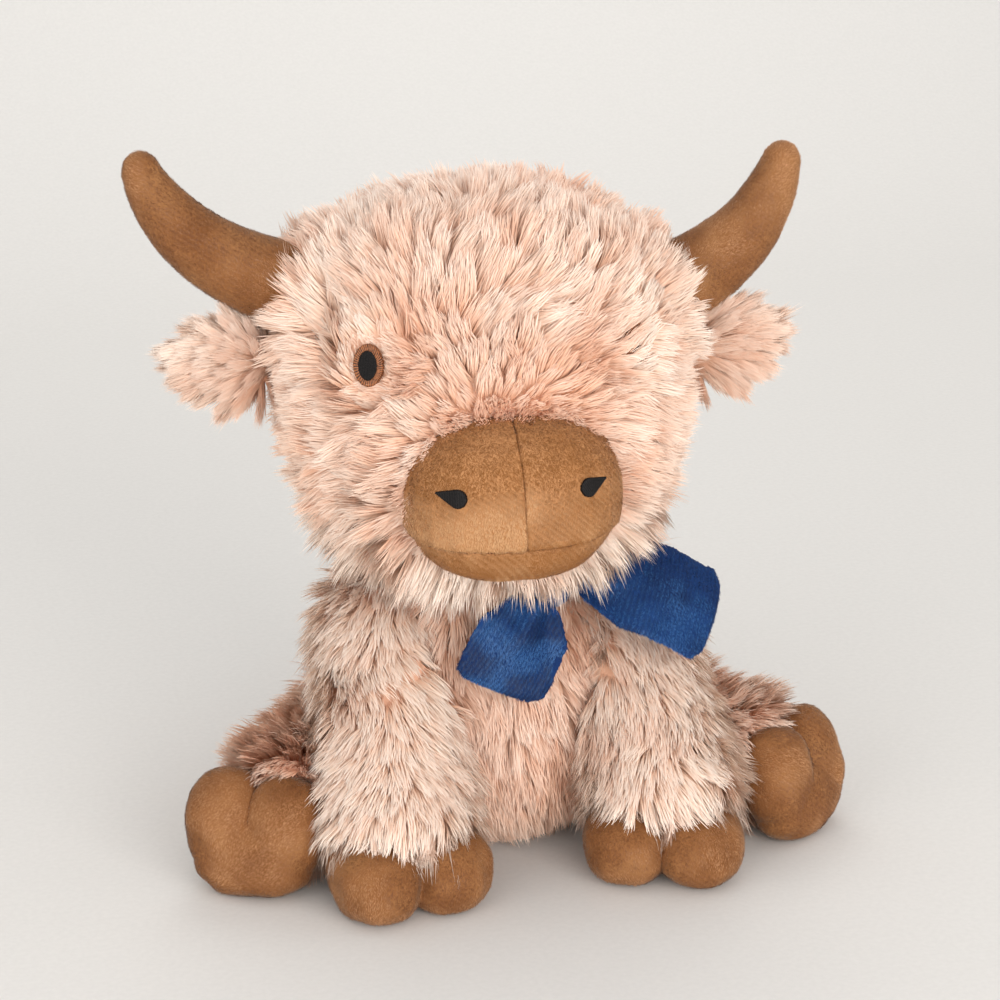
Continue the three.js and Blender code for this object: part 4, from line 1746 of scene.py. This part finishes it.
@dataclass
class Head:
    """The head: its pile, snout, eyes, nostrils, horns and ears.

    Attributes:
        wardrobe: The toy's materials.
        voxel: The size of the head's faces.
        rounds: How many times the head is smoothed.
        inset: How far the head is drawn in under its pile.
        sewn_inset: How far it is drawn in where a piece is sewn on.
        sewn: How the inset grows with the distance from such a piece.
        fill: How tightly the head is stuffed.
        strands: How many strands of pile the head has.
        ear_strands: How many each ear has.
        ear_voxel: The size of an ear's faces.
        ear_rounds: How many times an ear is smoothed.
        ear_inset: How far an ear is drawn in under its pile.
        ear_fill: How tightly an ear is stuffed.
        nostril_sunk: How far a nostril is pressed into its panel.
    """

    wardrobe: Wardrobe
    voxel: float = 2.2 * MM
    rounds: int = 8
    inset: float = 6.5 * MM
    sewn_inset: float = 0.9 * MM
    sewn: Fade = Fade(4 * MM, 17 * MM)
    fill: float = 0.95
    strands: int = 230_000
    ear_strands: int = 38_000
    ear_voxel: float = 1.2 * MM
    ear_rounds: int = 6
    ear_inset: float = 1.6 * MM
    ear_fill: float = 0.4
    nostril_sunk: float = 0.6 * MM

    def build(self) -> None:
        """Makes every piece of the head."""
        self.build_snout()
        self.build_eyes()
        for side in Side:
            self.build_horn(side)
            self.build_ear(side)
        self.build_pile()

    def build_snout(self) -> None:
        """Makes the two nose panels, the lip panel and the nostrils."""
        wardrobe = self.wardrobe
        covered = [Solid.of_nodes("nostril_left", "nostril_right")]
        for i, node in enumerate(("muzzle_panel_left", "muzzle_panel_right", "lip_panel")):
            SnoutPanel(node=node, body="head", cloth=wardrobe.snout, nap=wardrobe.snout_nap, seed=50 + i,
                       heading=(0, -0.4, -1), strands=55_000, voxel=0.7 * MM, rounds=12, swell=0.35 * MM,
                       covered=covered).build()
        for side in Side:
            SatinStitch(f"nostril_{side.value}", "head", wardrobe.black_thread, "black_thread",
                        sunk=self.nostril_sunk).build()

    def build_eyes(self) -> None:
        """Makes each eye's brown ring and black middle."""
        brown, black = self.wardrobe.brown_thread, self.wardrobe.black_thread
        for side in Side:
            SatinStitch(f"eye_ring_{side.value}", "head", brown, "brown_thread", radial=True).build()
            SatinStitch(f"eye_middle_{side.value}", "head", black, "black_thread").build()

    def build_horn(self, side: Side) -> None:
        """Makes one horn.

        Args:
            side: The side that it is on.
        """
        Horn(node=f"horn_{side.value}", body="head", cloth=self.wardrobe.hide, nap=self.wardrobe.hide_nap,
             seed=40 + side.out, heading=(side.out, 0, 0.8), tip_heading=(0.35 * side.out, 0, 0.94),
             voxel=1 * MM, rounds=10, swell=0.9 * MM, evened=14, patchy=0.2).build()

    def build_ear(self, side: Side) -> None:
        """Makes one ear: a flat leaf with a fringe all round.

        Args:
            side: The side that it is on.
        """
        node = f"ear_{side.value}"
        mesh = soft_form(f"{node}_cloth", node, self.ear_voxel, self.ear_rounds)
        shift_points(mesh, -point_normals(mesh) * self.ear_inset)
        skin = ground_cloth(f"{node}_cloth", mesh, node, self.wardrobe.undercoat, self.ear_fill, node)
        EarPile(skin=skin, cut=EAR_CUT, dye=self.wardrobe.fur, count=self.ear_strands, seed=60 + side.out,
                keep_out=[Solid.of_nodes(f"horn_{side.value}")], out=side.out, root=pivot(node)).grow()

    def build_pile(self) -> None:
        """Makes the head's ground cloth and its pile."""
        horns = Solid.of_nodes("horn_left", "horn_right")
        snout = Solid.of_nodes("muzzle_panel_left", "muzzle_panel_right", "lip_panel")
        clear_eye = Solid.of_nodes("eye_ring_right", "eye_middle_right")
        buried_eye = Solid.of_nodes("eye_ring_left", "eye_middle_left")
        tight = [horns, snout, clear_eye, buried_eye]
        mesh = soft_form("head_cloth", "head_cover", self.voxel, self.rounds, hull=True)
        drawn_in(mesh, self.inset, self.sewn_inset, tight, self.sewn)
        skin = ground_cloth("head_cloth", mesh, "head", self.wardrobe.undercoat, self.fill, "head_cover",
                            "head_filling")
        HeadPile(skin=skin, cut=HEAD_CUT, dye=self.wardrobe.fur, count=self.strands, seed=10,
                 keep_out=[snout, horns, clear_eye, buried_eye], snout=snout, horns=horns,
                 clear_eye=clear_eye, buried_eye=buried_eye).grow()
        log.info("head: pile of %d strands", self.strands)


# Seat and tail


@dataclass(kw_only=True)
class SeatPile(Pile):
    """The seat's pile, which hangs and splays a little, and is short under the scarf and at the floor.

    Attributes:
        limbs: The legs, which cover it.
        splay: How strongly it opens out.
        under: Its length with the height above the floor.
        collar: Its length with the depth below the scarf.
        tied: How far above the scarf's lower edge it ends.
        freed: How far below the scarf's upper edge it starts again.
        sole: The height from which it grows.
        reach: How far inside a leg a place is measured.
        covered: How far inside a leg no strand grows.
        warmth: Its least tone, kept low so that the seat's pile is warmer and darker, as painted shade.
        mottled: How much paler the palest patches are.
        centre: The middle of the seat.
        band: The height of the scarf's lower edge.
        band_top: The height of its upper edge.
        patches: Where the pile is paler or warmer.
    """

    limbs: Sequence[Solid]
    splay: float = 0.25
    under: Fade = Fade(0, 14 * MM, 0.55, 1)
    collar: Fade = Fade(0, 14 * MM, 0.6, 1)
    tied: float = 2 * MM
    freed: float = 1 * MM
    sole: float = 2 * MM
    reach: float = 8 * MM
    covered: float = 6 * MM
    warmth: float = 0.05
    mottled: float = 0.5
    centre: Vector = field(init=False)
    band: float = field(init=False)
    band_top: float = field(init=False)
    patches: Clouds = field(init=False)

    def __post_init__(self) -> None:
        """Takes the seat's measures from the frame and seeds the patches."""
        low, high = corners("body_cover")
        self.centre = Vector((low + high) / 2)
        self.band, self.band_top = (corner[2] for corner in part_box("scarf_band"))
        self.patches = Clouds(self.seed + 1, 16 * MM)

    def lie(self, places: Points, normals: Points) -> Points:
        """Brushes the pile down and away from the seat's middle.

        Args:
            places: Places on the cloth.
            normals: Their normals.

        Returns:
            Each place's direction.
        """
        out = places - np.array(self.centre)
        out[:, 2] = 0
        return DOWN + self.splay * unit(out)

    def length(self, places: Points) -> Points:
        """Shortens the pile at the floor and the scarf, and clears it under the scarf and the legs.

        Args:
            places: Places on the cloth.

        Returns:
            Each place's share of the full length.
        """
        height = places[:, 2]
        hidden = np.max([form.depth(places, self.reach) for form in self.limbs], 0)
        tied = (height > self.band + self.tied) & (height < self.band_top - self.freed)
        bare = tied | (height < self.sole) | (hidden > self.covered)
        return np.where(bare, 0, self.under.at(height) * self.collar.at(self.band - height))

    def tone(self, places: Points) -> Points:
        """Warm and darkened as painted shade, in patches."""
        # Painted shade: the seat's low least tone keeps its pile warmer and darker.
        return self.warmth + self.mottled * self.patches.at(places)


@dataclass
class Seat:
    """The seat and the tail behind it.

    Attributes:
        wardrobe: The toy's materials.
        voxel: The size of the seat's faces.
        rounds: How many times the seat is smoothed.
        inset: How far the seat is drawn in under its pile.
        at_floor: How that starts with the height above the floor.
        flat: How the drawing upwards starts with it, so that the seat stays flat below.
        fill: How tightly it is stuffed.
        strands: How many strands of pile it has.
        tail_strands: How many the tail and its tuft have each.
        tail_voxel: The size of the tail's faces.
        tail_rounds: How many times the tail is smoothed.
        tail_inset: How far the tail is drawn in under its pile.
        tail_fill: How tightly it is stuffed.
        tail_heading: The direction that its pile is brushed in.
        tail_paleness: Its pile's tone.
    """

    wardrobe: Wardrobe
    voxel: float = 2.2 * MM
    rounds: int = 8
    inset: float = 6.5 * MM
    at_floor: Fade = Fade(0, 6 * MM)
    flat: Fade = Fade(0, 4 * MM)
    fill: float = 0.9
    strands: int = 130_000
    tail_strands: int = 9_000
    tail_voxel: float = 1 * MM
    tail_rounds: int = 4
    tail_inset: float = 1 * MM
    tail_fill: float = 0.6
    tail_heading: Direction = (0, 1, -0.5)
    tail_paleness: float = 0.55

    def build(self) -> None:
        """Makes the seat's cover and pile, and the tail."""
        mesh = soft_form("seat_cloth", "body_cover", self.voxel, self.rounds, hull=True)
        points, _ = arrays(mesh)
        inset = self.inset * self.at_floor.at(points[:, 2])[:, None]
        flat = np.column_stack([np.ones((len(points), 2)), self.flat.at(points[:, 2])])
        shift_points(mesh, -point_normals(mesh) * inset * flat)
        skin = ground_cloth("seat_cloth", mesh, "torso", self.wardrobe.undercoat, self.fill, "body_cover",
                            "body_filling")
        limbs = [Solid.of_nodes(f"{leg.value}_leg_{side.value}") for leg in Leg for side in Side]
        scarf = [Solid.of_nodes("scarf_band", "scarf_knot")]
        scarf += [Solid.of_nodes(node) for node in ("scarf_end_front", "scarf_end_side")]
        SeatPile(skin=skin, cut=SEAT_CUT, dye=self.wardrobe.fur, count=self.strands, seed=20,
                 keep_out=scarf, limbs=limbs).grow()
        log.info("seat: pile of %d strands", self.strands)
        self.build_tail()

    def build_tail(self) -> None:
        """Makes the tail and its tuft."""
        for i, (node, cut) in enumerate((("tail", TAIL_CUT), ("tail_tuft", TUFT_CUT))):
            mesh = soft_form(f"{node}_cloth", node, self.tail_voxel, self.tail_rounds)
            shift_points(mesh, -point_normals(mesh) * self.tail_inset)
            skin = ground_cloth(f"{node}_cloth", mesh, "tail", self.wardrobe.undercoat, self.tail_fill, node)
            Pile(skin=skin, cut=cut, dye=self.wardrobe.fur, count=self.tail_strands, seed=70 + i,
                 heading=self.tail_heading, paleness=self.tail_paleness).grow()


# Legs


class Leg(Enum):
    """The two pairs of legs."""

    FRONT = "front"
    HIND = "hind"


@dataclass(kw_only=True)
class LegPile(Pile):
    """A leg's pile, brushed towards the hoof and flaring over it.

    Attributes:
        leg: The pair that the leg belongs to.
        root: The seam that the leg hangs from.
        along: The direction from there to the hoof.
        reach: The distance from there to the hoof.
        hoof: The hoof.
        seat: The seat's filling, which covers the leg's top.
        flare: How strongly the pile opens out with the share of the way down.
        raised: Its share of the full lift with the share of the way down.
        at_hoof: Its length on a hind leg with the distance from the hoof.
        hoof_reach: The distance from the hoof at which measuring ends.
        tucked: How deep inside the seat no strand grows.
        seat_reach: The depth at which measuring ends.
        sole: The height from which it grows.
        front_painted_light_tone: Its least tone on a front leg, raised as painted light.
        hind_tone: Its least tone on a hind leg.
        mottled: How much paler the palest patches are.
        specked: How much paler the palest of the smaller ones are.
        patches: Where it is paler or warmer.
        fine: Smaller such places.
    """

    leg: Leg
    root: Vector
    along: Vector
    reach: float
    hoof: Solid
    seat: Solid
    flare: Fade = Fade(0.45, 0.9, 0.18, 0.38)
    raised: Fade = Fade(0.5, 0.9, 1, 1.15)
    at_hoof: Fade = Fade(0, 10 * MM, 0.55, 1)
    hoof_reach: float = 12 * MM
    tucked: float = 4 * MM
    seat_reach: float = 6 * MM
    sole: float = 2.5 * MM
    front_painted_light_tone: float = 0.45
    hind_tone: float = 0.1
    mottled: float = 0.5
    specked: float = 0.4
    patches: Clouds = field(init=False)
    fine: Clouds = field(init=False)

    def __post_init__(self) -> None:
        """Seeds the patches."""
        self.patches = Clouds(self.seed + 5, 15 * MM)
        self.fine = Clouds(self.seed + 6, 6 * MM)

    def lie(self, places: Points, normals: Points) -> Points:
        """Brushes the pile along the leg and a little outwards.

        Args:
            places: Places on the cloth.
            normals: Their normals.

        Returns:
            Each place's direction.
        """
        along = np.array(self.along)
        offset = places - np.array(self.root)
        run = offset @ along
        out = unit(offset - run[:, None] * along)
        return along + self.flare.at(run / self.reach)[:, None] * out

    def length(self, places: Points) -> Points:
        """Shortens the pile at a hind hoof, and clears it inside the seat and at the floor.

        Args:
            places: Places on the cloth.

        Returns:
            Each place's share of the full length.
        """
        share = np.ones(len(places))
        if self.leg is Leg.HIND:
            share = self.at_hoof.at(-self.hoof.depth(places, self.hoof_reach))
        buried = self.seat.depth(places, self.seat_reach) > self.tucked
        return np.where(buried | (places[:, 2] < self.sole), 0, share)

    def lift(self, places: Points) -> Points:
        """Raises the pile a little over the hoof."""
        return self.raised.at((places - np.array(self.root)) @ np.array(self.along) / self.reach)

    def tone(self, places: Points) -> Points:
        """In patches, and paler on the front legs as painted light.

        Args:
            places: Places on the cloth.

        Returns:
            Each place's warmth, from 0 warm to 1 pale.
        """
        # Painted light: the front legs' least tone is higher, so they are paler.
        least = self.hind_tone if self.leg is Leg.HIND else self.front_painted_light_tone
        return least + self.mottled * self.patches.at(places) + self.specked * self.fine.at(places)


@dataclass
class Limb:
    """One leg and its hoof.

    Attributes:
        wardrobe: The toy's materials.
        leg: The pair that it belongs to.
        side: The side that it is on.
        seed: Seed of its pile.
        voxel: The size of its faces.
        rounds: How many times it is smoothed.
        inset: How far it is drawn in under its pile.
        sewn_inset: How far it is drawn in at the hoof's seam.
        sewn: How the inset grows with the distance from that seam.
        fill: How tightly it is stuffed.
        strands: How many strands of pile it has.
        hind_slope: How steeply the pile of a hind leg is brushed down.
    """

    wardrobe: Wardrobe
    leg: Leg
    side: Side
    seed: int
    voxel: float = 1.8 * MM
    rounds: int = 8
    inset: float = 1.8 * MM
    sewn_inset: float = 1.2 * MM
    sewn: Fade = Fade(2 * MM, 18 * MM)
    fill: float = 0.8
    strands: int = 60_000
    hind_slope: float = -0.25

    def build(self) -> None:
        """Makes the leg's cover and pile, and its hoof."""
        node = f"{self.leg.value}_leg_{self.side.value}"
        hoof_node = f"{self.leg.value}_hoof_{self.side.value}"
        hoof = Solid.of_nodes(hoof_node)
        mesh = soft_form(f"{node}_cloth", node, self.voxel, self.rounds)
        drawn_in(mesh, self.inset, self.sewn_inset, [hoof], self.sewn)
        skin = ground_cloth(f"{node}_cloth", mesh, node, self.wardrobe.undercoat, self.fill, node)
        root = Vector(pivot(node))
        foot = middle(hoof_node)
        along = (foot - root).normalized()
        cut = FRONT_LEG_CUT
        if self.leg is Leg.HIND:
            along.z = self.hind_slope
            cut = HIND_LEG_CUT
        LegPile(skin=skin, cut=cut, dye=self.wardrobe.fur, count=self.strands, seed=self.seed,
                keep_out=[hoof], leg=self.leg, root=root, along=along, reach=(foot - root).length,
                hoof=hoof, seat=Solid.of_nodes("body_filling")).grow()
        VelourPiece(node=hoof_node, body=node, cloth=self.wardrobe.hide, nap=self.wardrobe.hide_nap,
                    seed=self.seed + 3, heading=tuple(along), rounds=40, crease=1.7, lumps=2 * MM,
                    patchy=0.16).build()
        log.info("%s: pile of %d strands", node, self.strands)


# Scarf


class Fold(Enum):
    """How a part of the scarf is held."""

    ROUND = "gathered"
    LOOSE = "hung"


@dataclass(kw_only=True)
class ScarfNap(RibbedNap):
    """The scarf's nap, darker than the velour's and with stronger ribs; its pale brushed patches are partly
    painted sheen.
    """

    slot: str = "scarf"
    heading: Direction = (-0.3, 0, -1)
    specks: float = 0.3
    turning: Fade = Fade(0.32, 0.78)
    rib: float = 1.5 * MM
    across: Direction = (0.8, 0.2, -0.56)
    ribbed: float = 0.2
    darkest: float = 0.06
    paler: float = 0.8


@dataclass
class Scarf:
    """The scarf: its band, knot and two loose ends.

    Attributes:
        wardrobe: The toy's materials.
        end_width: The width of the strip where it hangs loose; not used.
        band_width: The width that shows where it is gathered round the neck; not used.
        rounds: How many times a part is smoothed.
        end_voxel: The size of a loose end's faces.
        knot_voxel: The size of the knot's faces.
        band_voxel: The size of the band's faces.
        knot_fill: How tightly the knot is pulled; not used.
        strands: How many fibres of nap the band and each end have.
        knot_strands: How many the knot has.
        patch: How wide the nap's brushed patches are.
        speck: How wide the smaller ones are.
        ripple: How high the band's ripples are.
        ripple_width: How wide they are.
        pleat: How deep a loose end's pleats are at the knot.
        pleats: How closely they fan out.
        fan_from: How far behind the knot the fan's middle lies.
        pleat_fade: How they run out with the distance from the knot.
        wave: How far the cloth waves beyond them.
        wave_width: How wide a wave is.
        wave_fade: How that starts with the distance from the knot.
    """

    wardrobe: Wardrobe
    end_width: float = 33 * MM
    band_width: float = 13 * MM
    rounds: int = 6
    end_voxel: float = 0.6 * MM
    knot_voxel: float = 0.8 * MM
    band_voxel: float = 1 * MM
    knot_fill: float = 0.7
    strands: int = 30_000
    knot_strands: int = 8_000
    patch: float = 10 * MM
    speck: float = 4 * MM
    ripple: float = 1.2 * MM
    ripple_width: float = 9 * MM
    pleat: float = 1.3 * MM
    pleats: float = 9
    fan_from: float = 12 * MM
    pleat_fade: Fade = Fade(6 * MM, 34 * MM)
    wave: float = 3 * MM
    wave_width: float = 13 * MM
    wave_fade: Fade = Fade(2 * MM, 16 * MM)

    def build(self) -> None:
        """Makes every piece of the scarf."""
        self.build_cloth("scarf_band", "torso", 10, Fold.ROUND)
        self.build_cloth("scarf_end_front", "scarf_end_front", 15, Fold.LOOSE)
        self.build_cloth("scarf_end_side", "scarf_end_side", 14, Fold.LOOSE)
        mesh = soft_form("scarf_knot_velour", "scarf_knot", self.knot_voxel, self.rounds)
        knot = shown("scarf_knot_velour", mesh, self.wardrobe.scarf)
        stand_in(knot, "torso", "scarf", "scarf_knot")
        self.add_nap(Skin("scarf_knot_velour", mesh, "torso"), self.knot_strands, 84)

    def add_nap(self, skin: Skin, strands: int, seed: int) -> None:
        """Grows the short pile of one part.

        Args:
            skin: The part's cloth.
            strands: How many fibres.
            seed: Seed of everything that is uneven in them.
        """
        ScarfNap(skin=skin, dye=self.wardrobe.scarf_nap, count=strands, seed=seed,
                 brushed=Clouds(seed + 1, self.patch), fine=Clouds(seed + 2, self.speck)).grow()

    def draped(self, node: str, points: Points, seed: int) -> Points:
        """Pleats a loose end where it leaves the knot, and waves it softly below.

        Args:
            node: The loose end.
            points: Its points.
            seed: Seed of the wave.

        Returns:
            Each point's offset.
        """
        root = pivot(node)
        centre = points.mean(0)
        through = np.linalg.svd(points - centre, full_matrices=False)[2][2]
        along = unit((centre - root)[None, :])[0]
        across = np.cross(along, through)
        run = (points - root) @ along
        side = (points - root) @ across
        fan = np.arctan2(side, np.maximum(run, 0) + self.fan_from)
        fade = 1 - self.pleat_fade.at(run)
        wave = Clouds(seed, self.wave_width).swing(points)
        depth = self.pleat * fade * np.cos(fan * self.pleats) + self.wave * wave * self.wave_fade.at(run)
        return depth[:, None] * through

    def build_cloth(self, node: str, body: str, seed: int, fold: Fold) -> None:
        """Makes one flat part of the scarf.

        Args:
            node: The solid that it stands for.
            body: The body that it rides on.
            seed: Seed of its ripples or waves and, with 80 more, of its nap.
            fold: How it is held.
        """
        name = f"{node}_velour"
        voxel = self.end_voxel if fold is Fold.LOOSE else self.band_voxel
        mesh = soft_form(name, node, voxel, self.rounds)
        points, _ = arrays(mesh)
        area = surface(mesh) / 2
        if fold is Fold.LOOSE:
            shift_points(mesh, self.draped(node, points, seed))
        else:
            ripple = Clouds(seed, self.ripple_width).swing(points)
            shift_points(mesh, point_normals(mesh) * (self.ripple * ripple)[:, None])
        thing = shown(name, mesh, self.wardrobe.scarf)
        stand_in(thing, body, "scarf", node)
        self.add_nap(Skin(name, mesh, body), self.strands, 80 + seed)
        log.info("%s: cloth of %.0f square millimetres", node, area / MM ** 2)


# The studio


@dataclass(frozen=True)
class Lamp:
    """One soft square lamp.

    Attributes:
        name: Its name.
        place: Where it hangs, in metres.
        size: Its width, in metres.
        power: Its power, in watts.
        tint: Its colour.
    """

    name: str
    place: Direction
    size: float
    power: float
    tint: str

    def hang(self, aim: Vector) -> None:
        """Hangs the lamp.

        Args:
            aim: The point that it faces.
        """
        data = bpy.data.lights.new(self.name, "AREA")
        data.size = self.size
        data.energy = self.power
        data.color = colour(self.tint)[:3]
        lamp = bpy.data.objects.new(self.name, data)
        lamp.location = self.place
        lamp.rotation_euler = (aim - Vector(self.place)).to_track_quat("-Z", "Y").to_euler()
        bpy.context.scene.collection.objects.link(lamp)


LAMPS = (
    Lamp("key", (0.3, -1.45, 0.52), 1.0, 13.5, "#FFFBF6"),
    Lamp("fill", (-1.05, -0.9, 0.35), 1.0, 7.0, "#FFFDFA"),
    Lamp("back", (0.2, 0.9, 1.1), 0.8, 4.0, "#FFFDFA"),
)


@dataclass
class Studio:
    """Floor, lamps and camera, in metres and degrees.

    Attributes:
        azimuth: The camera's angle from straight ahead, towards the cow's right below 0.
        elevation: Its angle above the horizon.
        distance: Its distance from what it looks at.
        pixels: How many pixels of a 1000 pixel frame one metre covers at 1 m.
        target: The point that it looks at.
        sensor: The width of its sensor, in millimetres.
        lit: The point that the lamps face.
        surround: The strength of the even light from all round.
        half_width: Half the floor's width.
        front: The Y of its front edge.
        back: The Y of its backdrop.
        bend: The radius of the curve between the floor and the backdrop.
        bends: How many steps that curve has.
        top: The height of the backdrop.
        gap: How far the floor lies below the toy.
    """

    azimuth: float = -15
    elevation: float = 20
    distance: float = 1.0
    pixels: float = 3030
    target: Direction = (-0.33 * MM, -31.69 * MM, 125 * MM)
    sensor: float = 36.0
    lit: Direction = (0, 0, 0.11)
    surround: float = 0.75
    half_width: float = 5.0
    front: float = -5.0
    back: float = 1.1
    bend: float = 0.5
    bends: int = 12
    top: float = 1.6
    gap: float = 0.2 * MM

    def build(self) -> None:
        """Sets up the whole studio."""
        bpy.context.scene.view_settings.view_transform = "Standard"
        self.add_floor()
        self.add_camera()
        self.add_lamps()

    def add_floor(self) -> None:
        """Lays a pale floor that curves up into a backdrop."""
        curve, bend = self.back - self.bend, self.bend
        outline = [(self.front, 0.0), (curve, 0.0)]
        for step in range(1, self.bends + 1):
            angle = math.pi / 2 * step / self.bends
            outline.append((curve + bend * math.sin(angle), bend - bend * math.cos(angle)))
        outline.append((self.back, self.top))
        points = [(x, y, z - self.gap) for y, z in outline for x in (-self.half_width, self.half_width)]
        faces = [(2 * i, 2 * i + 1, 2 * i + 3, 2 * i + 2) for i in range(len(outline) - 1)]
        mesh = bpy.data.meshes.new("studio_floor")
        mesh.from_pydata(points, [], faces)
        mesh.update()
        shown("studio_floor", mesh, PaperFinish().material())

    def add_camera(self) -> None:
        """Sets the camera at the photograph's angle."""
        side, up = math.radians(self.azimuth), math.radians(self.elevation)
        back = Vector((math.sin(side) * math.cos(up), -math.cos(side) * math.cos(up), math.sin(up)))
        data = bpy.data.cameras.new("camera")
        data.sensor_width = self.sensor
        data.lens = self.sensor * self.pixels / 1000
        camera = bpy.data.objects.new("camera", data)
        camera.location = Vector(self.target) + self.distance * back
        camera.rotation_euler = (-back).to_track_quat("-Z", "Y").to_euler()
        bpy.context.scene.collection.objects.link(camera)
        bpy.context.scene.camera = camera

    def add_lamps(self) -> None:
        """Hangs a broad key light, a fill and a back light, and lights the room evenly."""
        for lamp in LAMPS:
            lamp.hang(Vector(self.lit))
        world = bpy.data.worlds.new("surround")
        world.use_nodes = True
        background = world.node_tree.nodes["Background"]
        background.inputs["Color"].default_value = (1, 1, 1, 1)
        background.inputs["Strength"].default_value = self.surround
        bpy.context.scene.world = world


def main() -> None:
    """Builds the toy's parts in order, then the studio."""
    logging.basicConfig(level=logging.INFO, format="%(name)s: %(message)s")
    wardrobe = Wardrobe()
    Seat(wardrobe).build()
    Head(wardrobe).build()
    for i, leg in enumerate(Leg):
        for j, side in enumerate(Side):
            Limb(wardrobe, leg, side, 100 + 20 * i + 10 * j).build()
    Scarf(wardrobe).build()
    Studio().build()


if __name__ == "__main__":
    main()
